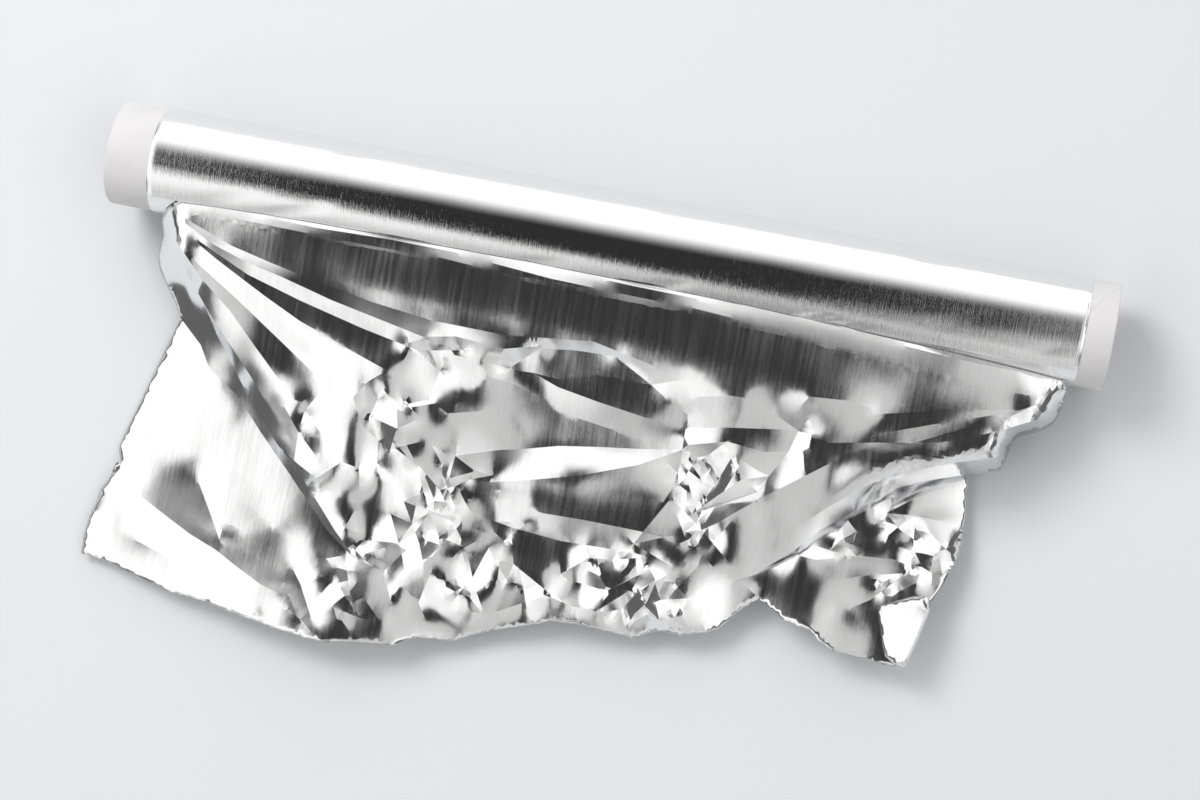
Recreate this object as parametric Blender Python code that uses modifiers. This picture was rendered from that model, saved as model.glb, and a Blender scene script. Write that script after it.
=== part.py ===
"""Household aluminium foil roll: a paper core, and a strip of foil wound on it and let off crumpled."""

import math
import random

import bmesh
import bpy
import numpy as np
from mathutils import Vector
from mathutils.geometry import delaunay_2d_cdt

MM = 0.001

# Paper core
CORE_LENGTH = 302 * MM
CORE_RADIUS = 15.75 * MM
CORE_WALL = 1.5 * MM
CORE_FACETS = 96

# Wound foil
FOIL_WIDTH = 280 * MM
FOIL_INSET = 13.6 * MM  # bare core at the left end
FOIL_THICKNESS = 0.15 * MM
CORE_CLEARANCE = 0.07 * MM
TURN_CLEARANCE = 0.05 * MM
TURNS = 2
TURN_FACETS = 72
TELESCOPE = 1.0 * MM  # the outer turn stops this far short at the right end

# Free sheet, from the roll's axis to its cut edge
SHEET_REACH = 134 * MM
SHOULDER_DROP = 2.1 * MM  # the fold over the roll's shoulder stays this far below the roll's top
FLAT_RUN = 14 * MM  # lies on the table before it rises
FACET_SIZE = 5.2 * MM
EDGE_STEP = 4.2 * MM
CREASE_HEIGHT = 10 * MM  # a lift share of 1
CRUMPLE_HEIGHT = 1.8 * MM
CRUMPLE_REACH = 16 * MM
TOOTH_DEPTH = 0.3 * MM
FLAP_LIFT = 2.2 * MM
POINT_CLEARANCE = 2.0 * MM
MERGE_DISTANCE = 0.001 * MM
RELAXING = 60  # rounds in which the sheet between two creases settles

FOIL_LEFT = -CORE_LENGTH / 2 + FOIL_INSET
TURN_PITCH = FOIL_THICKNESS + TURN_CLEARANCE
ROLL_RADIUS = CORE_RADIUS + CORE_CLEARANCE + FOIL_THICKNESS + TURNS * TURN_PITCH
ROLL_OFFSET = (SHEET_REACH - ROLL_RADIUS) / 2  # the roll's axis lies this far behind the part's centre
SHOULDER_HEIGHT = 2 * ROLL_RADIUS - SHOULDER_DROP
SEED = 11
LOOSE_SHARE = 0.3  # how far a loose point may stray in its cell
ONLY_WITHIN_OUTLINE = 1  # the triangulation's own option

# Places on the sheet: share of the foil's width from its left edge, share of the reach in front of the axis,
# and share of the shoulder's height over the table
SHOULDER_SHARES = [
    (0.031, 0.093, 0.93), (0.11, 0.084, 0.98), (0.28, 0.079, 1.0), (0.60, 0.081, 1.0),
    (0.78, 0.093, 0.97), (0.92, 0.104, 0.92), (0.989, 0.114, 0.86),
]
CREST_SHARES = [
    (0.05, 0.115, 0.96), (0.11, 0.115, 1.01), (0.28, 0.118, 1.04), (0.60, 0.127, 1.04),
    (0.78, 0.146, 1.03), (0.92, 0.164, 1.0), (0.965, 0.168, 0.93),
]
# The wall's corners: shares of the roll's radius in front of its axis, and of the shoulder's height
WALL_SHARES = [(1.01, 0.0), (1.14, 0.13), (1.20, 0.29), (1.21, 0.49), (1.16, 0.67), (1.06, 0.82)]
LEFT_SELVEDGE_SHARES = [
    (0.031, 0.093, 0.93), (0.025, 0.105, 0.83), (0.016, 0.122, 0.70), (0.012, 0.141, 0.57),
    (0.011, 0.173, 0.44), (0.009, 0.194, 0.38), (0.009, 0.237, 0.34), (0.020, 0.270, 0.31),
    (0.032, 0.304, 0.28), (0.041, 0.341, 0.23),
]
LEFT_FOLD_FOOT_SHARES = [
    (0.041, 0.341, 0.23), (0.071, 0.395, 0.25), (0.085, 0.441, 0.27), (0.123, 0.493, 0.29),
    (0.158, 0.567, 0.30), (0.196, 0.641, 0.31), (0.249, 0.751, 0.31), (0.282, 0.797, 0.31),
    (0.320, 0.824, 0.31),
]
LEFT_FOLD_CREST_SHARES = [
    (0.047, 0.274, 0.41), (0.056, 0.245, 0.54), (0.073, 0.298, 0.52), (0.092, 0.362, 0.49),
    (0.127, 0.455, 0.46), (0.143, 0.497, 0.44), (0.178, 0.577, 0.42), (0.210, 0.638, 0.40),
    (0.261, 0.750, 0.37),
]
LEFT_FOLD_HIDDEN_SHARES = [
    (0.107, 0.306, 0.15), (0.136, 0.388, 0.18), (0.171, 0.485, 0.22), (0.214, 0.582, 0.25),
    (0.279, 0.716, 0.28), (0.320, 0.824, 0.31),
]
LEFT_CUT_END_SHARES = [(0.320, 0.824, 0.31), (0.336, 0.888, 0.34), (0.345, 0.973, 0.36)]
LEFT_FLAP_EDGE_SHARES = [
    (0.107, 0.306, 0.15), (0.038, 0.346, 0.11), (0.026, 0.423, 0.05), (0.011, 0.536, 0.04),
    (-0.003, 0.655, 0.06), (0.002, 0.700, 0.14), (-0.004, 0.733, 0.18), (-0.014, 0.802, 0.18),
    (-0.019, 0.872, 0.20), (-0.018, 0.916, 0.20),
]
LEFT_CUT_SHARES = [
    (-0.018, 0.916, 0.20), (0.010, 0.920, 0.25), (0.039, 0.934, 0.27), (0.090, 0.958, 0.31),
    (0.131, 0.963, 0.34), (0.170, 0.977, 0.37), (0.218, 0.991, 0.39), (0.266, 0.998, 0.40),
    (0.309, 0.982, 0.37), (0.345, 0.973, 0.36),
]
MIDDLE_CUT_SHARES = [
    (0.345, 0.973, 0.36), (0.367, 0.947, 0.28), (0.404, 0.943, 0.14), (0.436, 0.908, 0.17),
    (0.475, 0.877, 0.22), (0.506, 0.852, 0.26), (0.538, 0.845, 0.28), (0.571, 0.849, 0.23),
    (0.597, 0.853, 0.15), (0.618, 0.827, 0.21), (0.646, 0.824, 0.26), (0.673, 0.808, 0.28),
    (0.698, 0.754, 0.25), (0.721, 0.708, 0.31),
]
RIGHT_CUT_END_SHARES = [(0.690, 0.687, 0.36), (0.708, 0.690, 0.34), (0.721, 0.708, 0.31)]
RIGHT_FOLD_CREST_SHARES = [
    (0.944, 0.328, 0.31), (0.894, 0.364, 0.36), (0.868, 0.383, 0.39), (0.841, 0.412, 0.40),
    (0.806, 0.471, 0.43), (0.771, 0.533, 0.43), (0.746, 0.595, 0.41), (0.714, 0.651, 0.39),
    (0.690, 0.687, 0.36),
]
RIGHT_FOLD_HIDDEN_SHARES = [
    (0.879, 0.299, 0.08), (0.843, 0.343, 0.10), (0.775, 0.433, 0.12), (0.725, 0.560, 0.20),
    (0.690, 0.687, 0.36),
]
RIGHT_SELVEDGE_SHARES = [
    (0.989, 0.114, 0.86), (0.994, 0.130, 0.69), (0.995, 0.160, 0.51), (0.991, 0.195, 0.41),
    (0.984, 0.217, 0.36), (0.971, 0.234, 0.33), (0.956, 0.246, 0.33), (0.950, 0.262, 0.33),
    (0.948, 0.303, 0.31), (0.944, 0.328, 0.31),
]
RIGHT_FLAP_EDGE_SHARES = [
    (0.879, 0.299, 0.08), (0.913, 0.358, 0.12), (0.917, 0.411, 0.12), (0.919, 0.473, 0.18),
    (0.919, 0.528, 0.26), (0.908, 0.602, 0.34), (0.897, 0.651, 0.37),
]
CORNER_FOLD_SHARES = [(0.897, 0.651, 0.37), (0.892, 0.716, 0.38), (0.883, 0.793, 0.39)]
RIGHT_CUT_SHARES = [
    (0.721, 0.708, 0.31), (0.752, 0.745, 0.31), (0.781, 0.755, 0.31), (0.791, 0.772, 0.33),
    (0.807, 0.788, 0.35), (0.842, 0.790, 0.38), (0.883, 0.793, 0.39),
]
CORNER_FLAP_SHARES = [
    (0.897, 0.651, 0.44), (0.845, 0.671, 0.48), (0.853, 0.717, 0.48), (0.862, 0.774, 0.48),
    (0.883, 0.793, 0.46),
]

# The smooth sheet's profile from the crest to the cut edge: shares of that way, and of the crest's height
TENT_SHARES = [
    (0.0, 1.0), (0.04, 0.99), (0.085, 0.955), (0.127, 0.89), (0.21, 0.745), (0.3, 0.59), (0.38, 0.475),
    (0.51, 0.385), (0.68, 0.335), (0.85, 0.32), (1.0, 0.36),
]
# Broad swells: place, reach as a share of the sheet's, lift share
SWELL_SHARES = [
    ((0.311, 0.519), 0.31, 0.40), ((0.227, 0.461), 0.25, 0.20), ((0.487, 0.515), 0.27, 0.14),
    ((0.653, 0.650), 0.25, 0.12), ((0.598, 0.763), 0.22, 0.10), ((0.811, 0.270), 0.25, 0.16),
    ((0.800, 0.386), 0.19, 0.26), ((0.417, 0.817), 0.25, 0.10),
]
# Creases of the main sheet: place shares as above, and lift share over the smooth sheet
CREASE_SHARES = [
    # Fan from the pinch at the left
    [(0.103, 0.164, 0.0), (0.149, 0.186, 0.0), (0.256, 0.226, 0.0), (0.407, 0.244, 0.02),
     (0.504, 0.222, 0.0)],
    [(0.082, 0.168, 0.11), (0.123, 0.194, 0.16), (0.220, 0.241, 0.21), (0.324, 0.282, 0.20),
     (0.412, 0.274, 0.17)],
    [(0.068, 0.169, -0.06), (0.125, 0.220, -0.09), (0.185, 0.254, -0.12), (0.255, 0.289, -0.14)],
    [(0.060, 0.167, 0.06), (0.089, 0.200, 0.13), (0.147, 0.260, 0.19), (0.248, 0.342, 0.24),
     (0.291, 0.371, 0.22)],
    [(0.062, 0.208, -0.08), (0.114, 0.276, -0.12), (0.172, 0.356, -0.10), (0.224, 0.428, -0.06)],
    [(0.060, 0.215, 0.10), (0.077, 0.251, 0.14), (0.144, 0.377, 0.19), (0.193, 0.472, 0.18)],
    [(0.066, 0.262, -0.05), (0.093, 0.335, -0.10), (0.131, 0.421, -0.12), (0.194, 0.566, -0.08)],
    # Wrinkles between the fan and the middle
    [(0.161, 0.497, -0.02), (0.177, 0.467, 0.13), (0.202, 0.478, 0.14), (0.209, 0.496, -0.08),
     (0.220, 0.526, 0.10)],
    [(0.208, 0.616, 0.13), (0.232, 0.638, 0.19), (0.256, 0.591, 0.08), (0.276, 0.597, 0.16),
     (0.280, 0.668, -0.10)],
    [(0.291, 0.371, 0.22), (0.259, 0.443, 0.24), (0.271, 0.498, 0.04), (0.291, 0.529, -0.24),
     (0.293, 0.585, -0.16)],
    [(0.291, 0.529, -0.24), (0.313, 0.495, 0.22), (0.308, 0.451, 0.30), (0.284, 0.438, -0.04)],
    [(0.306, 0.305, 0.18), (0.345, 0.349, -0.20), (0.322, 0.441, 0.24), (0.361, 0.439, 0.26),
     (0.398, 0.341, 0.26)],
    # Facets of the middle
    [(0.398, 0.341, 0.26), (0.444, 0.353, 0.22), (0.458, 0.365, 0.12), (0.516, 0.399, -0.06),
     (0.613, 0.418, -0.24)],
    [(0.361, 0.439, 0.26), (0.411, 0.455, 0.02), (0.445, 0.489, -0.16), (0.459, 0.456, 0.08),
     (0.525, 0.447, 0.16), (0.613, 0.418, -0.24)],
    [(0.361, 0.439, 0.26), (0.377, 0.533, 0.16), (0.398, 0.551, 0.18), (0.419, 0.572, -0.04),
     (0.489, 0.537, 0.04), (0.571, 0.474, 0.0), (0.613, 0.418, -0.24)],
    [(0.385, 0.598, -0.20), (0.430, 0.607, 0.06), (0.479, 0.616, 0.20), (0.525, 0.613, 0.26),
     (0.610, 0.616, 0.16)],
    [(0.417, 0.316, 0.06), (0.473, 0.334, 0.06), (0.510, 0.292, 0.18), (0.570, 0.291, 0.22),
     (0.616, 0.256, 0.22)],
    [(0.473, 0.334, 0.06), (0.516, 0.349, -0.12), (0.569, 0.363, -0.18), (0.615, 0.367, -0.20)],
    [(0.616, 0.256, 0.22), (0.656, 0.281, 0.16), (0.731, 0.327, -0.22), (0.657, 0.350, -0.06),
     (0.615, 0.367, -0.20)],
    # Column of small facets
    [(0.613, 0.418, -0.24), (0.627, 0.448, 0.06), (0.641, 0.520, 0.0), (0.635, 0.554, -0.22),
     (0.642, 0.594, 0.02)],
    [(0.627, 0.448, 0.06), (0.668, 0.407, 0.16), (0.709, 0.438, -0.12), (0.680, 0.458, 0.18),
     (0.635, 0.554, -0.22)],
    [(0.731, 0.327, -0.22), (0.724, 0.377, 0.04), (0.709, 0.438, -0.12)],
    [(0.731, 0.327, -0.22), (0.736, 0.251, 0.22), (0.803, 0.251, 0.06), (0.891, 0.217, 0.02),
     (0.952, 0.193, 0.04)],
    # Fan from the pinch at the right, and the band along the right fold
    [(0.815, 0.320, -0.02), (0.851, 0.305, 0.02), (0.895, 0.258, 0.16), (0.943, 0.215, 0.14)],
    [(0.912, 0.267, 0.08), (0.851, 0.305, 0.02), (0.806, 0.332, 0.06), (0.746, 0.422, 0.16),
     (0.688, 0.518, 0.12), (0.642, 0.594, 0.02)],
    [(0.901, 0.327, 0.28), (0.857, 0.363, 0.34), (0.813, 0.412, 0.38), (0.777, 0.477, 0.36),
     (0.741, 0.550, 0.32), (0.713, 0.607, 0.26)],
    # Knots above the cut edge
    [(0.364, 0.611, -0.26), (0.376, 0.640, 0.08), (0.384, 0.680, -0.14), (0.400, 0.729, 0.10),
     (0.409, 0.786, -0.10)],
    [(0.364, 0.611, -0.26), (0.355, 0.656, 0.12), (0.341, 0.700, -0.08), (0.331, 0.734, 0.12)],
    [(0.364, 0.611, -0.26), (0.342, 0.570, 0.10), (0.315, 0.540, 0.18)],
    [(0.479, 0.616, 0.20), (0.461, 0.653, 0.16), (0.442, 0.695, -0.14), (0.442, 0.738, 0.12),
     (0.420, 0.793, -0.20)],
    [(0.525, 0.613, 0.26), (0.523, 0.659, 0.04), (0.537, 0.694, 0.16), (0.585, 0.674, 0.18),
     (0.563, 0.756, 0.08)],
    [(0.598, 0.741, 0.14), (0.610, 0.713, 0.18), (0.648, 0.738, 0.16), (0.645, 0.780, 0.06),
     (0.606, 0.774, 0.16)],
    [(0.420, 0.793, -0.20), (0.443, 0.783, 0.08), (0.470, 0.795, -0.10), (0.495, 0.771, 0.12),
     (0.563, 0.756, 0.08)],
    [(0.270, 0.737, 0.10), (0.301, 0.747, -0.08), (0.318, 0.763, 0.14), (0.338, 0.763, 0.06),
     (0.371, 0.759, 0.18)],
]
# Creases of the two lower flaps, with shares of the shoulder's height
LEFT_FLAP_CREASE_SHARES = [
    [(0.018, 0.665, 0.12), (0.029, 0.754, 0.20), (0.067, 0.792, 0.24), (0.133, 0.845, 0.31),
     (0.189, 0.900, 0.37), (0.233, 0.891, 0.35), (0.288, 0.849, 0.36)],
    [(0.067, 0.396, 0.17), (0.072, 0.438, 0.14), (0.098, 0.530, 0.18), (0.131, 0.545, 0.20)],
    [(0.094, 0.709, 0.20), (0.116, 0.690, 0.23), (0.160, 0.742, 0.27), (0.211, 0.790, 0.30)],
    [(0.236, 0.921, 0.36), (0.271, 0.915, 0.40), (0.304, 0.929, 0.36)],
]
RIGHT_FLAP_CREASE_SHARES = [
    [(0.790, 0.530, 0.31), (0.799, 0.495, 0.26), (0.820, 0.464, 0.30), (0.835, 0.469, 0.23),
     (0.853, 0.499, 0.33), (0.872, 0.516, 0.27), (0.893, 0.536, 0.37), (0.893, 0.577, 0.32),
     (0.876, 0.603, 0.40)],
    [(0.835, 0.469, 0.23), (0.860, 0.430, 0.25), (0.890, 0.392, 0.19)],
    [(0.868, 0.590, 0.28), (0.821, 0.616, 0.33), (0.782, 0.650, 0.36), (0.742, 0.685, 0.34)],
    [(0.756, 0.608, 0.37), (0.773, 0.600, 0.34), (0.817, 0.573, 0.29), (0.859, 0.565, 0.26)],
]
# Where the sheet is crumpled: place and strength shares
CRUMPLE_SHARES = [
    ((0.293, 0.49), 0.7), ((0.36, 0.62), 0.9), ((0.33, 0.77), 0.9), ((0.26, 0.85), 0.8), ((0.43, 0.79), 0.8),
    ((0.50, 0.71), 0.6), ((0.56, 0.74), 0.9), ((0.62, 0.76), 1.0), ((0.625, 0.48), 0.6), ((0.65, 0.59), 0.8),
    ((0.84, 0.48), 0.6), ((0.89, 0.55), 0.8), ((0.80, 0.56), 0.6), ((0.14, 0.82), 0.4), ((0.01, 0.75), 0.4),
]


def clear_scene():
    for obj in list(bpy.data.objects):
        bpy.data.objects.remove(obj, do_unlink=True)


def new_collection(name):
    collection = bpy.data.collections.new(name)
    bpy.context.scene.collection.children.link(collection)
    return collection


def new_material(name, colour, metallic, roughness):
    material = bpy.data.materials.new(name)
    material.use_nodes = True
    shader = material.node_tree.nodes["Principled BSDF"]
    shader.inputs["Base Color"].default_value = (*colour, 1.0)
    shader.inputs["Metallic"].default_value = metallic
    shader.inputs["Roughness"].default_value = roughness
    return material


def add_object(name, mesh, material, collection):
    obj = bpy.data.objects.new(name, mesh)
    obj.data.materials.append(material)
    collection.objects.link(obj)
    return obj


# Core tube
def core_tube(collection):
    """A square-ended wall section turned round the tube's length, which then lies along X."""
    inner, half = CORE_RADIUS - CORE_WALL, CORE_LENGTH / 2
    corners = [(CORE_RADIUS, half), (CORE_RADIUS, -half), (inner, -half), (inner, half)]
    section = bmesh.new()
    loop = [section.verts.new((radius, 0.0, height)) for radius, height in corners]
    for start, end in zip(loop, loop[1:] + loop[:1]):
        section.edges.new((start, end))
    mesh = bpy.data.meshes.new("core_tube")
    section.to_mesh(mesh)
    section.free()
    paper = new_material("white_paper", (0.83, 0.82, 0.82), 0.0, 0.6)
    obj = add_object("core_tube", mesh, paper, collection)
    obj.location = (0.0, ROLL_OFFSET, ROLL_RADIUS)
    obj.rotation_euler = (0.0, math.pi / 2, 0.0)
    turn = obj.modifiers.new("turned", "SCREW")
    turn.steps = turn.render_steps = CORE_FACETS
    turn.use_smooth_shade = True
    return obj


# Places on the sheet
def place(x_share, reach_share, height_share):
    x = FOIL_LEFT + x_share * FOIL_WIDTH
    return np.array([x, ROLL_OFFSET - reach_share * SHEET_REACH, height_share * SHOULDER_HEIGHT])


def line_of(shares):
    """The corners of a line on the sheet, as points."""
    return np.array([place(*corner) for corner in shares])


def lifted_line(shares):
    """The corners of a crease on the sheet, each with its lift in place of its height."""
    line = line_of(shares)
    line[:, 2] = [lift_share * CREASE_HEIGHT for _, _, lift_share in shares]
    return line


def stepped(line, count=None):
    """Points at equal steps along a line of corners, its two ends among them."""
    lengths = np.linalg.norm(np.diff(line, axis=0), axis=1)
    along = np.concatenate([[0.0], np.cumsum(lengths)])
    count = count or max(2, round(along[-1] / EDGE_STEP) + 1)
    steps = np.linspace(0.0, along[-1], count)
    return np.stack([np.interp(steps, along, line[:, axis]) for axis in range(3)], axis=1)


def distance_to_line(points, line):
    """How far each point lies from a line, seen from above."""
    best = np.full(len(points), np.inf)
    for start, end in zip(line[:-1, :2], line[1:, :2]):
        run = end - start
        share = np.clip((points[:, :2] - start) @ run / (run @ run), 0.0, 1.0)
        gap = points[:, :2] - start - share[:, None] * run
        best = np.minimum(best, np.linalg.norm(gap, axis=1))
    return best


def smooth_share(value):
    value = np.clip(value, 0.0, 1.0)
    return value * value * (3.0 - 2.0 * value)


# Height of the sheet
def tent_height(points):
    """The smooth sheet: up from the shoulder to the crest, then down to the cut edge, with broad swells."""
    shoulder, crest = line_of(SHOULDER_SHARES), line_of(CREST_SHARES)
    x, y = points[:, 0], points[:, 1]
    shoulder_y, shoulder_z = (np.interp(x, shoulder[:, 0], shoulder[:, axis]) for axis in (1, 2))
    crest_y, crest_z = (np.interp(x, crest[:, 0], crest[:, axis]) for axis in (1, 2))
    share = (crest_y - y) / (crest_y - (ROLL_OFFSET - SHEET_REACH))
    profile = np.array(TENT_SHARES)
    near_crest = smooth_share(share / profile[5, 0])
    top = crest_z + (crest[:, 2].max() - crest_z) * near_crest
    front = top * np.interp(share, profile[:, 0], profile[:, 1])
    back_share = np.clip((y - crest_y) / (shoulder_y - crest_y), 0.0, 1.0)
    height = np.where(share > 0.0, front, crest_z + (shoulder_z - crest_z) * back_share)
    for centre, reach, lift in SWELL_SHARES:
        gap = np.linalg.norm(points[:, :2] - place(*centre, 0.0)[:2], axis=1) / (reach * SHEET_REACH)
        height = height + lift * CREASE_HEIGHT * smooth_share(1.0 - gap)
    return height


def crumple_strength(points):
    strength = np.zeros(len(points))
    for centre, amount in CRUMPLE_SHARES:
        gap = np.linalg.norm(points[:, :2] - place(*centre, 0.0)[:2], axis=1) / CRUMPLE_REACH
        strength = np.maximum(strength, amount * smooth_share(2.0 - 2.0 * gap))
    return strength


def settled(lift, faces, held):
    """The lifts once the sheet between its creases has drawn itself even, like a soap film."""
    ends = np.array([(face[i], face[i - 1]) for face in faces for i in range(len(face))])
    ends = np.vstack([ends, ends[:, ::-1]])
    count = np.maximum(np.bincount(ends[:, 0], minlength=len(lift)), 1)
    for _ in range(RELAXING):
        mean = np.bincount(ends[:, 0], lift[ends[:, 1]], len(lift)) / count
        lift = np.where(held, lift, mean)
    return lift


# Patches of the sheet
def inside(points, outline):
    """Which points lie within a closed outline, seen from above."""
    found = np.zeros(len(points), dtype=bool)
    for start, end in zip(outline, np.roll(outline, -1, axis=0)):
        spans = (start[1] > points[:, 1]) != (end[1] > points[:, 1])
        rise = end[1] - start[1]
        across = start[0] + (points[:, 1] - start[1]) * (end[0] - start[0]) / (rise if rise else 1.0)
        found ^= spans & (points[:, 0] < across)
    return found


def scattered(outline, lines, chance):
    """Loose points within an outline, one in each cell of a skewed grid, clear of its edges and creases."""
    low, high = outline[:, :2].min(axis=0), outline[:, :2].max(axis=0)
    columns, rows = (int(side / FACET_SIZE) + 2 for side in high - low)
    points = []
    for row in range(rows):
        for column in range(columns):
            shift = [chance.uniform(-1.0, 1.0) * LOOSE_SHARE for _ in range(2)]
            cell = np.array([column + 0.5 * (row % 2) + shift[0], row + shift[1]])
            points.append([*(low + cell * FACET_SIZE), 0.0])
    points = np.array(points)
    points = points[inside(points, outline)]
    for line in [np.vstack([outline, outline[:1]]), *lines]:
        points = points[distance_to_line(points, line) > POINT_CLEARANCE]
    return points


def add_patch(sheet, outline_lines, crease_lines, chance, base=None):
    """A stretch of sheet between its outline's lines, faceted along its creases, as faces of the mesh.

    Where a base is given, the creases' heights are lifts over it.
    """
    outline = np.vstack([line[:-1] for line in outline_lines])
    points = np.vstack([outline, *crease_lines, scattered(outline, crease_lines, chance)])
    edges = [(i, (i + 1) % len(outline)) for i in range(len(outline))]
    first = len(outline)
    for line in crease_lines:
        edges += [(first + i, first + i + 1) for i in range(len(line) - 1)]
        first += len(line)
    flat = [Vector(point[:2]) for point in points]
    found = delaunay_2d_cdt(flat, edges, [], ONLY_WITHIN_OUTLINE, MERGE_DISTANCE / 10)
    places, faces, sources = np.array([list(spot) for spot in found[0]]), found[2], found[3]
    ground = base(places) if base else np.zeros(len(places))
    lift, held = np.zeros(len(places)), np.zeros(len(places), dtype=bool)
    for number, source in enumerate(sources):
        if source and source[0] < first:
            on_outline = source[0] < len(outline)
            lift[number] = points[source[0], 2] - (ground[number] if on_outline else 0.0)
            held[number] = True
    lift = settled(lift, faces, held)
    noise = np.array([chance.uniform(-1.0, 1.0) for _ in places]) * crumple_strength(places)
    height = ground + lift + np.where(held, 0.0, CRUMPLE_HEIGHT * noise)
    height = np.maximum(height, FOIL_THICKNESS / 2)
    corners = [sheet.verts.new((*spot, level)) for spot, level in zip(places, height)]
    for face in faces:
        sheet.faces.new([corners[i] for i in face])


def add_strip(sheet, *lines):
    """Faces between lines of equally many points."""
    rows = [[sheet.verts.new(point) for point in line] for line in lines]
    for upper, lower in zip(rows, rows[1:]):
        for corners in zip(upper, upper[1:], lower[1:], lower):
            distinct = {tuple(round(axis / MERGE_DISTANCE) for axis in corner.co) for corner in corners}
            if len(distinct) == len(corners):
                sheet.faces.new(corners)
            elif len(distinct) == len(corners) - 1:
                sheet.faces.new(corners[:2] + corners[3:])


def toothed(line, chance):
    """A cut edge as the cutter leaves it, its inner points moved a little to and fro."""
    ragged = line.copy()
    for point in ragged[1:-1]:
        point[1] += TOOTH_DEPTH * chance.choice((-1.0, 1.0)) * chance.uniform(0.3, 1.0)
    return ragged


# Wound turns
def turn_radius(angle):
    """Radius of the foil's middle on the spiral, the angle counted back from where the sheet leaves."""
    return ROLL_RADIUS - FOIL_THICKNESS / 2 - TURN_PITCH * angle / (2 * math.pi)


def add_turns(sheet):
    """The spiral, from its inner end to the two corners at the roll's underside."""
    steps = TURNS * TURN_FACETS
    rows = []
    for step in range(steps, -1, -1):
        angle = 2 * math.pi * step / TURN_FACETS
        radius = turn_radius(angle)
        y = ROLL_OFFSET + radius * math.sin(angle)
        z = ROLL_RADIUS - radius * math.cos(angle)
        short = TELESCOPE * float(smooth_share(1.0 - angle / (2 * math.pi)))
        ends = (FOIL_LEFT, FOIL_LEFT + FOIL_WIDTH - short)
        rows.append([sheet.verts.new((x, y, z)) for x in ends])
    for before, after in zip(rows, rows[1:]):
        sheet.faces.new((before[0], before[1], after[1], after[0]))
    return rows[-1]


def add_wall(sheet, corners, shoulder):
    """The stretch on the table, and the wall that rises before the roll and leans back over its shoulder."""
    left, right = FOIL_LEFT, FOIL_LEFT + FOIL_WIDTH - TELESCOPE
    lines = []
    for reach_share, height_share in WALL_SHARES:
        lean = smooth_share(height_share)
        x = (1 - lean) * np.linspace(left, right, len(shoulder)) + lean * shoulder[:, 0]
        forward = height_share ** 2 * (shoulder[:, 1].max() - shoulder[:, 1])
        y = ROLL_OFFSET - reach_share * ROLL_RADIUS - forward
        z = FOIL_THICKNESS / 2 + height_share * (shoulder[:, 2] - FOIL_THICKNESS / 2)
        lines.append(np.stack([x, y, z], axis=1))
    lines[0][:, 1] = ROLL_OFFSET - FLAT_RUN
    add_strip(sheet, *lines, shoulder)
    add_fans(sheet, corners, [sheet.verts.new(point) for point in lines[0]])


def add_fans(sheet, corners, foot):
    """Triangles from two far corners to the many points of the line that faces them."""
    middle = len(foot) // 2
    sheet.faces.new((corners[0], corners[1], foot[middle]))
    for number, (start, end) in enumerate(zip(foot, foot[1:])):
        sheet.faces.new((corners[0] if number < middle else corners[1], end, start))


# Foil
def foil(collection):
    """The whole strip as one open surface, then given its thickness."""
    chance = random.Random(SEED)
    sheet = bmesh.new()
    shoulder = stepped(line_of(SHOULDER_SHARES))
    add_wall(sheet, add_turns(sheet), shoulder)

    left_selvedge = stepped(line_of(LEFT_SELVEDGE_SHARES))
    left_foot = stepped(line_of(LEFT_FOLD_FOOT_SHARES))
    left_hidden = stepped(line_of(LEFT_FOLD_HIDDEN_SHARES), len(left_foot))
    left_join = stepped(line_of(LEFT_CUT_END_SHARES))
    right_crest = stepped(line_of(RIGHT_FOLD_CREST_SHARES))
    right_hidden = stepped(line_of(RIGHT_FOLD_HIDDEN_SHARES), len(right_crest))
    right_join = stepped(line_of(RIGHT_CUT_END_SHARES))
    corner_fold = stepped(line_of(CORNER_FOLD_SHARES))
    right_selvedge = stepped(line_of(RIGHT_SELVEDGE_SHARES))

    middle_cut = toothed(stepped(line_of(MIDDLE_CUT_SHARES)), chance)
    main = [left_selvedge, left_foot, left_join, middle_cut, right_join[::-1], right_crest[::-1],
            right_selvedge[::-1], shoulder[::-1]]
    crest = stepped(line_of(CREST_SHARES))
    fold_crest = line_of(LEFT_FOLD_CREST_SHARES)
    for line in (crest, fold_crest):
        line[:, 2] -= tent_height(line)
    creases = [lifted_line(shares) for shares in CREASE_SHARES]
    add_patch(sheet, main, [crest, fold_crest, *creases], chance, tent_height)

    left_cut = toothed(stepped(line_of(LEFT_CUT_SHARES)), chance)
    flap = [stepped(line_of(LEFT_FLAP_EDGE_SHARES)), left_cut, left_join[::-1], left_hidden[::-1]]
    add_patch(sheet, flap, [line_of(shares) for shares in LEFT_FLAP_CREASE_SHARES], chance)
    add_strip(sheet, left_foot, left_hidden)

    right_cut = toothed(stepped(line_of(RIGHT_CUT_SHARES)), chance)
    lower = [right_hidden, right_join, right_cut, corner_fold[::-1],
             stepped(line_of(RIGHT_FLAP_EDGE_SHARES))[::-1]]
    add_patch(sheet, lower, [line_of(shares) for shares in RIGHT_FLAP_CREASE_SHARES], chance)
    add_strip(sheet, right_crest, right_hidden)
    add_corner_flap(sheet, corner_fold, chance)

    bmesh.ops.remove_doubles(sheet, verts=sheet.verts, dist=MERGE_DISTANCE)
    bmesh.ops.recalc_face_normals(sheet, faces=sheet.faces)
    mesh = bpy.data.meshes.new("foil")
    sheet.to_mesh(mesh)
    sheet.free()
    obj = add_object("foil", mesh, new_material("bare_foil", (0.91, 0.91, 0.92), 1.0, 0.22), collection)
    wall = obj.modifiers.new("thickness", "SOLIDIFY")
    wall.thickness = FOIL_THICKNESS
    wall.offset = 0.0
    wall.use_even_offset = True
    return obj


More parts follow.
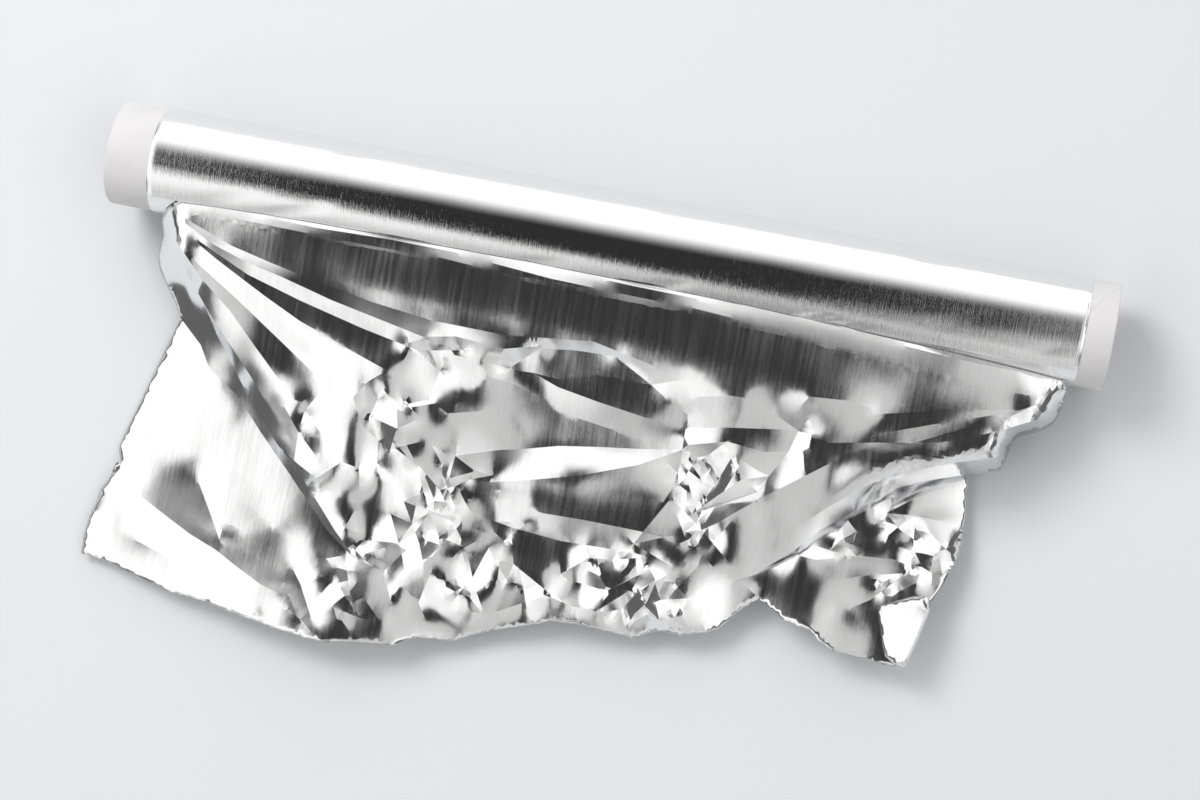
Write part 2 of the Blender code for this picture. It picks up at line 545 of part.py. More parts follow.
def add_corner_flap(sheet, corner_fold, chance):
    """The small corner that is folded back over the sheet, with its round fold."""
    lifted = corner_fold + np.array([0.0, 0.0, FLAP_LIFT])
    bulge = (corner_fold + lifted) / 2 + np.array([FLAP_LIFT / 3, 0.0, 0.0])
    add_strip(sheet, corner_fold, bulge, lifted)
    edge = stepped(line_of(CORNER_FLAP_SHARES))
    edge[0], edge[-1] = lifted[0], lifted[-1]
    add_patch(sheet, [edge, lifted[::-1]], [], chance)


def main():
    clear_scene()
    collection = new_collection("aluminium_foil_roll")
    core_tube(collection)
    foil(collection)


if __name__ == "__main__":
    main()
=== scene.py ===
import logging
import math
import random
from dataclasses import dataclass, field
from enum import Enum

import bmesh
import bpy
import numpy as np
from mathutils import Matrix, Vector
from mathutils.bvhtree import BVHTree
from mathutils.geometry import delaunay_2d_cdt
from mathutils.kdtree import KDTree


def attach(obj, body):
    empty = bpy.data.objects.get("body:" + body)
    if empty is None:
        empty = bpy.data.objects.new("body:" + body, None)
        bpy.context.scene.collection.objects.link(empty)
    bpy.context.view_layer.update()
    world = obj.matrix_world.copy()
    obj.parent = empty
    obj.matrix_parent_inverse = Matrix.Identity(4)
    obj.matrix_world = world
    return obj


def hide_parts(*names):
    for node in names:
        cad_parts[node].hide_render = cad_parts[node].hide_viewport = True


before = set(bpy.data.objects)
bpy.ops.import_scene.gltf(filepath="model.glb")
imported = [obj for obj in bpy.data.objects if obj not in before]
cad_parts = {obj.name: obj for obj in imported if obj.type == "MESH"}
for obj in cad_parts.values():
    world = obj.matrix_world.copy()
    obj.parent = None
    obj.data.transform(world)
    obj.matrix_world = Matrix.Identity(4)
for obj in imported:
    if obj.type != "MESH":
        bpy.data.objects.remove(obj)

MM = 0.001
ALL_ROUND = 2 * math.pi
STRIP_MAP = "strip"
# How many times higher the creases of the main sheet stand than the lifts written in CREASES
CREASE_LIFT = 1.5
# Millimetres in front of the crest over which the creases grow to their full lift
SHOULDER_BAND = 24.0
# The triangulation's two ways: every face, or only those within the outline
ALL_FACES, ONLY_WITHIN_OUTLINE = 0, 1
# Points nearer to each other than this are one, in millimetres: on turned shapes and facets, and on the sheet
FINE_WELD, SHEET_WELD = 1e-4, 1e-3
log = logging.getLogger("foil_roll")


class Slot(Enum):
    """The record's material slots."""

    PAPER = "core_paper"
    FOIL = "bare_foil"


def placed(name: str, data: bpy.types.ID) -> bpy.types.Object:
    """Makes an object of some data and puts it into the scene."""
    obj = bpy.data.objects.new(name, data)
    bpy.context.scene.collection.objects.link(obj)
    return obj


# Sizes


@dataclass(frozen=True)
class RollPlace:
    """Where the roll lies and how big it is, in millimetres."""

    axis_y: float = 58.815
    axis_z: float = 16.37
    foil_left: float = -137.4
    foil_width: float = 280.0
    core_radius: float = 15.75
    core_wall: float = 1.5
    core_half: float = 151.0
    outer_radius: float = 16.16


@dataclass(frozen=True)
class PhotoCamera:
    """The camera fitted to the photograph, with the picture taken as 1200 x 800."""

    place: tuple = (105.95, 11.08, 819.0)
    right: tuple = (0.974272, 0.191236, -0.119260)
    up: tuple = (-0.189578, 0.981542, 0.025204)
    forward: tuple = (-0.121878, 0.001946, -0.992543)
    focal: float = 2722.9
    across: int = 1200
    down: int = 800
    sensor: float = 36.0
    clip: tuple = (0.01, 20.0)

    def plan_point(self, across: float, down: float, height: float) -> np.ndarray:
        """The point of the object seen at a place of the picture.

        Args:
            across: place in the picture from its left edge, in pixels.
            down: place from its upper edge, in pixels.
            height: the point's height over the table, in millimetres.

        Returns:
            The point in millimetres.
        """
        ray = np.array(self.forward)
        ray = ray + np.array(self.right) * (across - self.across / 2) / self.focal
        ray = ray + np.array(self.up) * (self.down / 2 - down) / self.focal
        start = np.array(self.place)
        return start + ray * (height - start[2]) / ray[2]

    def line(self, sights: list) -> np.ndarray:
        """Points in millimetres for a list of (across, down, height)."""
        return np.array([self.plan_point(*sight) for sight in sights])

    def build(self) -> None:
        """Adds the camera and makes it the scene's own."""
        data = bpy.data.cameras.new("photo_camera")
        data.sensor_width = self.sensor
        data.lens = self.focal * self.sensor / self.across
        data.clip_start, data.clip_end = self.clip
        obj = placed("photo_camera", data)
        turn = Matrix([self.right, self.up, [-axis for axis in self.forward]]).transposed()
        obj.matrix_world = Matrix.Translation(Vector(self.place) * MM) @ turn.to_4x4()
        bpy.context.scene.camera = obj


ROLL = RollPlace()
CAMERA = PhotoCamera()


# Shader helpers


@dataclass(frozen=True)
class NoiseLayer:
    """One layer of noise: its scale along each axis, its detail and its roughness."""

    scales: tuple
    detail: float
    roughness: float


class Shading:
    """A node tree with short calls for the maths in it."""

    def __init__(self, tree: bpy.types.NodeTree) -> None:
        """Takes the tree that the nodes go into."""
        self.tree = tree

    def node(self, kind: str, **settings: object) -> bpy.types.Node:
        """Adds a node and sets its attributes.

        Args:
            kind: the node's type name.
            settings: attribute values by name.

        Returns:
            The new node.
        """
        made = self.tree.nodes.new(kind)
        for name, value in settings.items():
            setattr(made, name, value)
        return made

    def feed(self, socket: bpy.types.NodeSocket, value: object) -> None:
        """Links a socket to the input, or writes a plain value into it."""
        if isinstance(value, bpy.types.NodeSocket):
            self.tree.links.new(value, socket)
        else:
            socket.default_value = value

    def maths(self, operation: str, *values: object) -> bpy.types.NodeSocket:
        """A Math node's result.

        Args:
            operation: the node's operation.
            values: numbers or sockets, in the node's order.

        Returns:
            The output socket.
        """
        made = self.node("ShaderNodeMath", operation=operation)
        for socket, value in zip(made.inputs, values):
            self.feed(socket, value)
        return made.outputs[0]

    def ramp(self, value: object, low: float, high: float, start: float = 0.0, end: float = 1.0) -> object:
        """A smooth step from start at low to end at high."""
        made = self.node("ShaderNodeMapRange", interpolation_type="SMOOTHSTEP")
        for socket, given in zip(made.inputs, (value, low, high, start, end)):
            self.feed(socket, given)
        return made.outputs[0]

    def noise(self, vector: object, layer: NoiseLayer) -> bpy.types.NodeSocket:
        """A noise layer's grey value."""
        scaled = self.node("ShaderNodeVectorMath", operation="MULTIPLY")
        self.feed(scaled.inputs[0], vector)
        scaled.inputs[1].default_value = layer.scales
        made = self.node("ShaderNodeTexNoise")
        self.feed(made.inputs["Vector"], scaled.outputs[0])
        made.inputs["Scale"].default_value = 1.0
        made.inputs["Detail"].default_value = layer.detail
        made.inputs["Roughness"].default_value = layer.roughness
        return made.outputs["Fac"]

    def bump(self, height: object, distance: float, strength: float = 1.0) -> bpy.types.NodeSocket:
        """The normal that a height makes."""
        made = self.node("ShaderNodeBump")
        made.inputs["Distance"].default_value = distance
        made.inputs["Strength"].default_value = strength
        self.feed(made.inputs["Height"], height)
        return made.outputs["Normal"]


def new_material(name: str) -> tuple:
    """A new material, its Shading and its Principled shader."""
    material = bpy.data.materials.new(name)
    material.use_nodes = True
    return material, Shading(material.node_tree), material.node_tree.nodes["Principled BSDF"]


@dataclass(frozen=True)
class RollingStreaks:
    """Fine streaks that rolling leaves along the strip, with faint wrinkles across it."""

    fine: NoiseLayer = NoiseLayer((5200.0, 130.0, 1.0), 3.0, 0.6)
    broad: NoiseLayer = NoiseLayer((900.0, 24.0, 1.0), 2.0, 0.5)
    grain: NoiseLayer = NoiseLayer((3200.0, 1500.0, 1.0), 2.0, 0.6)
    wrinkle: NoiseLayer = NoiseLayer((210.0, 160.0, 1.0), 4.0, 0.55)
    fine_share: float = 0.6
    broad_share: float = 0.5
    grain_share: float = 0.35
    gloss_band: tuple = (0.3, 0.7)
    shade_band: tuple = (0.25, 0.75)
    darkest: float = 0.94

    def build(self) -> bpy.types.NodeTree:
        """Makes the node group.

        Returns:
            The group. Its Strip input is the place on the flat strip in metres.
        """
        group = bpy.data.node_groups.new("rolling_streaks", "ShaderNodeTree")
        group.interface.new_socket(name="Strip", in_out="INPUT", socket_type="NodeSocketVector")
        for name in ("Streak Depth", "Wrinkle Depth"):
            socket = group.interface.new_socket(name=name, in_out="INPUT", socket_type="NodeSocketFloat")
            socket.default_value = 1.0
        for name in ("Height", "Gloss", "Shade"):
            group.interface.new_socket(name=name, in_out="OUTPUT", socket_type="NodeSocketFloat")
        shading = Shading(group)
        given, put = shading.node("NodeGroupInput").outputs, shading.node("NodeGroupOutput").inputs
        layers = (self.fine, self.broad, self.grain, self.wrinkle)
        fine, broad, grain, wrinkle = (shading.noise(given["Strip"], layer) for layer in layers)
        streaks = shading.maths("MULTIPLY", broad, self.broad_share)
        streaks = shading.maths("MULTIPLY_ADD", fine, self.fine_share, streaks)
        streaks = shading.maths("MULTIPLY_ADD", grain, self.grain_share, streaks)
        streaks = shading.maths("MULTIPLY", streaks, given["Streak Depth"])
        height = shading.maths("MULTIPLY_ADD", wrinkle, given["Wrinkle Depth"], streaks)
        shading.feed(put["Height"], height)
        shading.feed(put["Gloss"], shading.ramp(broad, *self.gloss_band))
        shading.feed(put["Shade"], shading.ramp(fine, *self.shade_band, self.darkest, 1.0))
        return group


# Finishes


@dataclass(frozen=True)
class FoilFinish:
    """Bare bright aluminium foil with its rolling streaks."""

    name: str
    colour: tuple = (0.915, 0.917, 0.925)
    roughness: float = 0.11
    roughness_range: float = 0.05
    streak_depth: float = 1.0
    wrinkle_depth: float = 1.0
    bump_distance: float = 0.00002

    def build(self, group: bpy.types.NodeTree) -> bpy.types.Material:
        """Makes the material.

        Args:
            group: the rolling streaks' node group.

        Returns:
            The material, which reads the piece's own map named strip.
        """
        material, shading, shader = new_material(self.name)
        shader.inputs["Metallic"].default_value = 1.0
        strip = shading.node("ShaderNodeUVMap", uv_map=STRIP_MAP)
        streaks = shading.node("ShaderNodeGroup", node_tree=group)
        shading.feed(streaks.inputs["Strip"], strip.outputs["UV"])
        streaks.inputs["Streak Depth"].default_value = self.streak_depth
        streaks.inputs["Wrinkle Depth"].default_value = self.wrinkle_depth
        rough = shading.maths("MULTIPLY_ADD", streaks.outputs["Gloss"], self.roughness_range, self.roughness)
        shading.feed(shader.inputs["Roughness"], rough)
        tint = shading.node("ShaderNodeMix", data_type="RGBA", blend_type="MULTIPLY")
        tint.inputs["Factor"].default_value = 1.0
        tint.inputs["A"].default_value = (*self.colour, 1.0)
        shading.feed(tint.inputs["B"], streaks.outputs["Shade"])
        shading.feed(shader.inputs["Base Color"], tint.outputs["Result"])
        shading.feed(shader.inputs["Normal"], shading.bump(streaks.outputs["Height"], self.bump_distance))
        return material


@dataclass(frozen=True)
class PaperFinish:
    """White core paper, wound on a slant, with fibres and a faint seam."""

    name: str = "white_core_paper"
    colour: tuple = (0.74, 0.73, 0.74)
    seam_colour: tuple = (0.64, 0.63, 0.64)
    roughness: float = 0.62
    seam_pitch: float = 0.062
    seam_share: float = 0.012
    seam_shade: float = 0.35
    seam_height: float = -1.2
    fibre: NoiseLayer = NoiseLayer((900.0, 2600.0, 2600.0), 4.0, 0.65)
    fibre_height: float = 0.5
    cloud: NoiseLayer = NoiseLayer((90.0, 90.0, 90.0), 3.0, 0.5)
    cloud_band: tuple = (0.3, 0.8)
    cloud_shade: float = 0.35
    bump_distance: float = 0.00008
    bump_strength: float = 0.6

    def build(self) -> bpy.types.Material:
        """Makes the material, which reads Object coordinates."""
        material, shading, shader = new_material(self.name)
        shader.inputs["Roughness"].default_value = self.roughness
        place = shading.node("ShaderNodeTexCoord").outputs["Object"]
        centred = shading.node("ShaderNodeMapping")
        centred.inputs["Location"].default_value = (0.0, -ROLL.axis_y * MM, -ROLL.axis_z * MM)
        shading.feed(centred.inputs["Vector"], place)
        axes = shading.node("ShaderNodeSeparateXYZ")
        shading.feed(axes.inputs[0], centred.outputs[0])
        angle = shading.maths("ARCTAN2", axes.outputs["Z"], axes.outputs["Y"])
        turn = shading.maths("DIVIDE", angle, ALL_ROUND)
        along = shading.maths("ADD", shading.maths("DIVIDE", axes.outputs["X"], self.seam_pitch), turn)
        seam = shading.maths("ABSOLUTE", shading.maths("SUBTRACT", shading.maths("FRACT", along), 0.5))
        seam = shading.ramp(seam, 0.0, self.seam_share, 1.0, 0.0)
        fibre, cloud = shading.noise(place, self.fibre), shading.noise(place, self.cloud)
        shade = shading.ramp(cloud, *self.cloud_band, 0.0, self.cloud_shade)
        shade = shading.maths("MULTIPLY_ADD", seam, self.seam_shade, shade)
        mix = shading.node("ShaderNodeMix", data_type="RGBA")
        shading.feed(mix.inputs["Factor"], shade)
        mix.inputs["A"].default_value = (*self.colour, 1.0)
        mix.inputs["B"].default_value = (*self.seam_colour, 1.0)
        shading.feed(shader.inputs["Base Color"], mix.outputs["Result"])
        height = shading.maths("MULTIPLY", fibre, self.fibre_height)
        height = shading.maths("MULTIPLY_ADD", seam, self.seam_height, height)
        shading.feed(shader.inputs["Normal"], shading.bump(height, self.bump_distance, self.bump_strength))
        return material


# Mesh helpers


def smooth_share(value: object) -> object:
    """A soft step from 0 to 1."""
    value = np.clip(value, 0.0, 1.0)
    return value * value * (3.0 - 2.0 * value)


def stepped(line: np.ndarray, step: float, count: int | None = None) -> np.ndarray:
    """Points at equal steps along a line of corners.

    Args:
        line: the corners.
        step: the wanted distance between points.
        count: how many points, if it is given.

    Returns:
        The points, with both ends.
    """
    lengths = np.linalg.norm(np.diff(line, axis=0), axis=1)
    along = np.concatenate([[0.0], np.cumsum(lengths)])
    count = count or max(2, round(along[-1] / step) + 1)
    steps = np.linspace(0.0, along[-1], count)
    return np.stack([np.interp(steps, along, line[:, axis]) for axis in range(3)], axis=1)


def divided(line: np.ndarray, step: float) -> np.ndarray:
    """The line's own corners, with points added so that no stretch is longer than the step."""
    parts = []
    for start, end in zip(line, line[1:]):
        count = max(1, math.ceil(float(np.linalg.norm((end - start)[:2])) / step))
        parts.append(start + (end - start) * np.arange(count)[:, None] / count)
    return np.vstack([*parts, line[-1:]])


def rounded_line(line: np.ndarray, times: int = 2) -> np.ndarray:
    """A line of corners with each inner corner cut, its ends kept.

    Args:
        line: the corners.
        times: how often the corners are cut.

    Returns:
        The softer line.
    """
    for _ in range(times):
        early = 0.75 * line[:-1] + 0.25 * line[1:]
        late = 0.25 * line[:-1] + 0.75 * line[1:]
        inner = np.stack([early, late], axis=1).reshape(-1, line.shape[1])[1:-1]
        line = np.vstack([line[:1], inner, line[-1:]])
    return line


def distance_to_line(points: np.ndarray, line: np.ndarray) -> np.ndarray:
    """How far each point lies from a line, seen from above."""
    best = np.full(len(points), np.inf)
    for start, end in zip(line[:-1, :2], line[1:, :2]):
        run = end - start
        share = np.clip((points[:, :2] - start) @ run / max(run @ run, 1e-12), 0.0, 1.0)
        gap = points[:, :2] - start - share[:, None] * run
        best = np.minimum(best, np.linalg.norm(gap, axis=1))
    return best


def inside(points: np.ndarray, outline: np.ndarray) -> np.ndarray:
    """Which points lie within a closed outline, seen from above."""
    found = np.zeros(len(points), dtype=bool)
    for start, end in zip(outline, np.roll(outline, -1, axis=0)):
        spans = (start[1] > points[:, 1]) != (end[1] > points[:, 1])
        rise = end[1] - start[1]
        across = start[0] + (points[:, 1] - start[1]) * (end[0] - start[0]) / (rise if rise else 1.0)
        found ^= spans & (points[:, 0] < across)
    return found


class Facets:
    """Flat facets over the plan: the heights at their corners, and straight creases between them."""

    # Half the side of the square round the sheet, and a height above every facet, in millimetres
    reach: float = 400.0
    top: float = 500.0

    def __init__(self, points: np.ndarray, heights: np.ndarray, edges: list) -> None:
        """Triangulates the corners.

        Args:
            points: corners in plan, millimetres.
            heights: their heights.
            edges: pairs of corners that have to be joined.
        """
        square = self.reach * np.array([[-1.0, -1.0], [1.0, -1.0], [1.0, 1.0], [-1.0, 1.0]])
        every = np.vstack([points[:, :2], square])
        levels = np.concatenate([heights, np.zeros(len(square))])
        found = delaunay_2d_cdt([Vector(point) for point in every], edges, [], ALL_FACES, FINE_WELD)
        self.places, self.edges = np.array([list(spot) for spot in found[0]]), found[1]
        self.heights = np.array([levels[source[0]] if source else 0.0 for source in found[3]])
        self._settle([number for number, source in enumerate(found[3]) if not source])
        corners = [Vector((*spot, level)) for spot, level in zip(self.places, self.heights)]
        self.tree = BVHTree.FromPolygons(corners, found[2])

    def _settle(self, unknown: list) -> None:
        """Gives corners made by crossing creases the mean of their neighbours."""
        near = {number: [] for number in unknown}
        for first, second in self.edges:
            if first in near:
                near[first].append(second)
            if second in near:
                near[second].append(first)
        for number in unknown:
            known = [self.heights[other] for other in near[number] if other not in near]
            self.heights[number] = sum(known) / len(known) if known else 0.0

    def at(self, points: np.ndarray) -> np.ndarray:
        """The facets' height over each plan point."""
        down, found = Vector((0.0, 0.0, -1.0)), []
        for point in points:
            hit = self.tree.ray_cast(Vector((point[0], point[1], self.top)), down)[0]
            found.append(hit.z if hit else 0.0)
        return np.array(found)


def scattered(outline: np.ndarray, margin: float, step: float, chance: random.Random,
              loose: float) -> np.ndarray:
    """Plan points over an outline's box, one in each cell of a skewed grid.

    Args:
        outline: the outline's points.
        margin: how far the grid reaches beyond them.
        step: the cells' size.
        chance: the source of the random shifts.
        loose: the largest shift as a share of a cell.

    Returns:
        The points.
    """
    low, high = outline[:, :2].min(axis=0) - margin, outline[:, :2].max(axis=0) + margin
    columns, rows = (int(side / step) + 2 for side in high - low)
    points = []
    for row in range(rows):
        for column in range(columns):
            shift_x, shift_y = chance.uniform(-loose, loose), chance.uniform(-loose, loose)
            across = low[0] + (column + 0.5 * (row % 2) + shift_x) * step
            points.append([across, low[1] + (row + shift_y) * step])
    return np.array(points)


def cut_long_edges(mesh: bmesh.types.BMesh, longest: float, cuts: int) -> None:
    """Divides the edges that are longer than a length."""
    edges = [edge for edge in mesh.edges if edge.calc_length() > longest]
    bmesh.ops.subdivide_edges(mesh, edges=edges, cuts=cuts)


def ring_of(mesh: bmesh.types.BMesh, corners: list) -> list:
    """Draws a closed section through (along, radius) corners beside the axis, and returns its points."""
    loop = [mesh.verts.new((x, radius, 0.0)) for x, radius in corners]
    for start, end in zip(loop, loop[1:] + loop[:1]):
        mesh.edges.new((start, end))
    return loop


def turned(mesh: bmesh.types.BMesh, steps: int) -> None:
    """Spins a section all the way round the axis."""
    bmesh.ops.spin(mesh, geom=mesh.verts[:] + mesh.edges[:], cent=(0, 0, 0), axis=(1, 0, 0), angle=ALL_ROUND,
                   steps=steps, use_merge=True)
    bmesh.ops.remove_doubles(mesh, verts=mesh.verts, dist=FINE_WELD)
    bmesh.ops.recalc_face_normals(mesh, faces=mesh.faces)


def on_the_axis(mesh: bmesh.types.BMesh) -> None:
    """Moves a turned shape onto the roll's axis and scales it to metres."""
    bmesh.ops.translate(mesh, verts=mesh.verts, vec=(0.0, ROLL.axis_y, ROLL.axis_z))
    bmesh.ops.scale(mesh, verts=mesh.verts, vec=(MM, MM, MM))


def finished_piece(mesh: bmesh.types.BMesh, name: str, sharp: float, material: bpy.types.Material,
                   node: str) -> bpy.types.Object:
    """Makes an object of a mesh and gives it its place in the frame.

    Args:
        mesh: the shape, in metres.
        name: the piece's name.
        sharp: the angle in degrees from which an edge looks sharp.
        material: its finish.
        node: the CAD node that it replaces.

    Returns:
        The object.
    """
    data = bpy.data.meshes.new(name)
    mesh.to_mesh(data)
    mesh.free()
    data.shade_smooth()
    data.set_sharp_from_angle(angle=math.radians(sharp))
    obj = placed(name, data)
    data.materials.append(material)
    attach(obj, "root")
    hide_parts(node)
    log.info("%s: %d vertices, %d faces", name, len(data.vertices), len(data.polygons))
    return obj


# Paper core


@dataclass
class PaperCore:
    """The paper tube that the foil is wound on."""

    finish: PaperFinish = PaperFinish()
    turn_steps: int = 160
    rings: int = 40
    lip: float = 0.35
    lip_segments: int = 3
    sharp: float = 40.0
    # The ends' wear: how far it reaches in, how much they wobble, and how the wobble bends and shortens them
    soft_end: float = 26.0
    wobble: float = 0.10
    wobble_turn: float = 0.7
    fine_wobble: float = 0.6
    bent_out: float = 40.0
    pressed_in: float = 90.0
    shortened: float = 0.0008

    def section(self, mesh: bmesh.types.BMesh) -> None:
        """Draws the wall's section, a rectangle beside the axis with soft corners."""
        outer, half = ROLL.core_radius, ROLL.core_half
        inner = outer - ROLL.core_wall
        loop = ring_of(mesh, [(-half, inner), (-half, outer), (half, outer), (half, inner)])
        bmesh.ops.bevel(mesh, geom=loop, offset=self.lip, affect="VERTICES", segments=self.lip_segments,
                        profile=0.5, material=-1)
        cut_long_edges(mesh, half, self.rings)

    def build(self) -> bpy.types.Object:
        """Turns the section round the axis and dents the lips a little.

        Returns:
            The finished piece.
        """
        mesh = bmesh.new()
        self.section(mesh)
        turned(mesh, self.turn_steps)
        for vert in mesh.verts:
            x, y, z = vert.co
            angle = math.atan2(z, y)
            end = max(0.0, (abs(x) - (ROLL.core_half - self.soft_end)) / self.soft_end) ** 2
            lobes = math.sin(3 * angle + self.wobble_turn) + self.fine_wobble * math.sin(5 * angle + x)
            shift = self.wobble * end * lobes
            swell = 1 + shift / self.bent_out - abs(shift) / self.pressed_in
            vert.co = (x * (1 - self.shortened * end * (1 + math.sin(2 * angle))), y * swell, z * swell)
        on_the_axis(mesh)
        return finished_piece(mesh, "paper_core", self.sharp, self.finish.build(), "core_tube")


# Wound foil


@dataclass
class WoundFoil:
    """The turns still on the core, with the stepped edges and the small dents of handling."""

    finish: FoilFinish = FoilFinish(
        "wound_foil", streak_depth=1.2, wrinkle_depth=0.5, roughness=0.05, roughness_range=0.03)
    turn_steps: int = 200
    rings: int = 180
    sharp: float = 35.0
    inner_gap: float = 0.06
    # The corners of the round left edge and of the stepped right one: inwards, and down from the outer turn
    left_edge: tuple = ((0.05, 0.08), (0.4, 0.0))
    step_edge: float = 0.04
    edge_steps: tuple = ((0.0, 0.20), (0.5, 0.14), (0.9, 0.07), (1.3, 0.0))
    # Dents: place along the foil, angle from the top towards the sheet, length, width and depth
    dents: tuple = (
        (26, 30, 12, 5, 0.16), (44, 34, 9, 3, 0.22), (52, 24, 6, 4, 0.14), (118, 42, 14, 4, 0.16),
        (160, 36, 7, 3, 0.18), (176, 52, 9, 4, 0.22), (204, 40, 6, 2.5, 0.28), (211, 46, 8, 3, 0.2),
        (96, -62, 16, 5, 0.12), (60, -50, 10, 4, 0.12), (150, -40, 20, 6, 0.06), (230, -46, 18, 6, 0.08),
        (84, 8, 26, 9, 0.05), (190, 4, 30, 8, 0.05), (246, 14, 14, 6, 0.06), (252, -70, 12, 4, 0.14),
        (30, 120, 24, 8, 0.12), (120, 150, 30, 9, 0.14), (205, 110, 22, 7, 0.12), (70, 200, 26, 8, 0.12),
        (170, 220, 24, 9, 0.12), (255, 170, 16, 6, 0.12), (15, -80, 10, 5, 0.12), (270, 30, 7, 4, 0.10),
    )
    # How far a dent slants, how its depth waves across it, and the winding's own slow waves
    dent_slant: float = 0.25
    dent_waves: tuple = (0.6, 0.8, 2.6)
    wave_depth: float = 0.018
    wave_lengths: tuple = (9.0, 23.0)
    wave_start: float = 1.3
    # The most that is pressed in, and the outer layers that give way
    deepest: float = 0.24
    skin: float = 0.3
    skin_fade: float = 0.25

    def section(self, mesh: bmesh.types.BMesh) -> None:
        """Draws the winding's section, its outer turns each a little shorter at the right end."""
        left, right, top = ROLL.foil_left, ROLL.foil_left + ROLL.foil_width, ROLL.outer_radius
        inner = ROLL.core_radius + self.inner_gap
        corners = [(left, inner), *((left + along, top - lower) for along, lower in self.left_edge)]
        for back, lower in reversed(self.edge_steps):
            corners.append((right - back, top - lower))
            corners.append((right - back + self.step_edge, top - lower - self.step_edge))
        ring_of(mesh, [*corners, (right, inner)])
        cut_long_edges(mesh, ROLL.foil_width / 2, self.rings)

    def sunk(self, along: np.ndarray, angle: np.ndarray) -> np.ndarray:
        """How far the surface is pressed in at places along and round the roll.

        Args:
            along: distance from the foil's left edge, millimetres.
            angle: from the top towards the sheet, degrees.

        Returns:
            The depth in millimetres.
        """
        depth = np.zeros(len(along))
        mean, swing, pace = self.dent_waves
        for place, turn, length, width, deep in self.dents:
            gap = (angle - turn + 180.0) % 360.0 - 180.0
            slant = (along - place) * self.dent_slant + np.radians(gap) * ROLL.outer_radius
            shape = np.exp(-((along - place) / length) ** 2 * 2 - (slant / width) ** 2 * 2)
            depth += deep * shape * (mean + swing * np.cos(slant / width * pace))
        short, long = self.wave_lengths
        waves = np.sin(along / short + np.radians(angle) * 2) + np.sin(along / long + self.wave_start) + 2
        return depth + self.wave_depth * waves

    def build(self, group: bpy.types.NodeTree) -> bpy.types.Object:
        """Turns the section, dents it and maps the strip onto it.

        Args:
            group: the rolling streaks' node group.

        Returns:
            The finished piece.
        """
        mesh = bmesh.new()
        self.section(mesh)
        turned(mesh, self.turn_steps)
        co = np.array([vert.co for vert in mesh.verts])
        radius = np.hypot(co[:, 1], co[:, 2])
        angle = np.degrees(np.arctan2(-co[:, 1], co[:, 2]))
        outer = smooth_share((radius - ROLL.outer_radius + self.skin) / self.skin_fade)
        sunk = np.minimum(self.sunk(co[:, 0] - ROLL.foil_left, angle) * outer, self.deepest)
        for vert, share in zip(mesh.verts, (radius - sunk) / radius):
            vert.co.y *= share
            vert.co.z *= share
        on_the_axis(mesh)
        self.map_strip(mesh)
        return finished_piece(mesh, "wound_foil", self.sharp, self.finish.build(group), "foil")

    def map_strip(self, mesh: bmesh.types.BMesh) -> None:
        """Writes the strip's map: along the roll, and round it, in metres."""
        layer = mesh.loops.layers.uv.new(STRIP_MAP)
        for face in mesh.faces:
            middle = face.calc_center_median()
            base = math.atan2(middle.y - ROLL.axis_y * MM, middle.z - ROLL.axis_z * MM)
            for loop in face.loops:
                spot = loop.vert.co
                angle = math.atan2(spot.y - ROLL.axis_y * MM, spot.z - ROLL.axis_z * MM)
                if angle - base > math.pi:
                    angle -= ALL_ROUND
                elif base - angle > math.pi:
                    angle += ALL_ROUND
                loop[layer].uv = (spot.x, angle * ROLL.outer_radius * MM)


# Free sheet

# Lines seen in the photograph: across and down in its pixels, and height over the table in millimetres
LEFT_SELVEDGE = [(181, 203, 28.5), (169, 207, 25.5), (163, 214, 21.5), (162, 223, 17.5), (163, 238, 13.5),
                 (159, 247, 11.5), (158, 266, 10.5), (165, 282, 9.5), (174, 299, 8.5), (180, 317, 7.0)]
LEFT_FOLD_FOOT = [(180, 317, 7.0), (201, 345, 9.6), (209, 367, 9.8), (238, 396, 9.9), (262, 434, 10.0),
                  (289, 473, 10.0), (327, 530, 10.1), (352, 556, 9.8), (384, 575, 9.5)]
LEFT_FOLD_CREST = [(180, 317, 7.0), (186, 288, 12.0), (193, 276, 15.0), (204, 302, 13.8), (216, 333, 13.2),
                   (240, 380, 12.6), (251, 401, 12.4), (276, 442, 12.0), (300, 474, 11.8), (336, 532, 11.4),
                   (350, 551, 10.8)]
LEFT_CUT_END = [(384, 575, 9.5), (392, 606, 10.5), (393, 645, 11.0)]
LEFT_FLAP_EDGE = [(180, 319, 3.4), (165, 350, 1.6), (143, 396, 1.2), (120, 444, 1.6), (119, 450, 1.9),
                  (121, 465, 2.6), (117, 461, 3.0), (110, 477, 3.0), (101, 488, 2.8), (95, 505, 3.0),
                  (90, 514, 3.4), (84, 534, 3.0), (81, 553, 3.2)]
LEFT_CUT = [(81, 553, 3.2), (104, 560, 4.2), (127, 571, 5.2), (169, 591, 7.2), (204, 601, 8.6),
            (236, 614, 10.2), (277, 629, 11.8), (319, 641, 13.0), (359, 642, 12.4), (393, 645, 11.0)]
MIDDLE_CUT = [(393, 645, 11.0), (416, 637, 9.2), (452, 641, 6.2), (483, 632, 6.6), (520, 626, 7.8),
              (550, 621, 8.8), (579, 624, 9.2), (610, 632, 8.2), (634, 638, 6.6), (655, 631, 7.6),
              (680, 635, 8.8), (706, 633, 9.2), (722, 627, 8.2), (734, 614, 8.4), (759, 598, 9.6)]
RIGHT_CUT_END = [(732, 583, 11.0), (748, 588, 10.4), (759, 598, 9.6)]
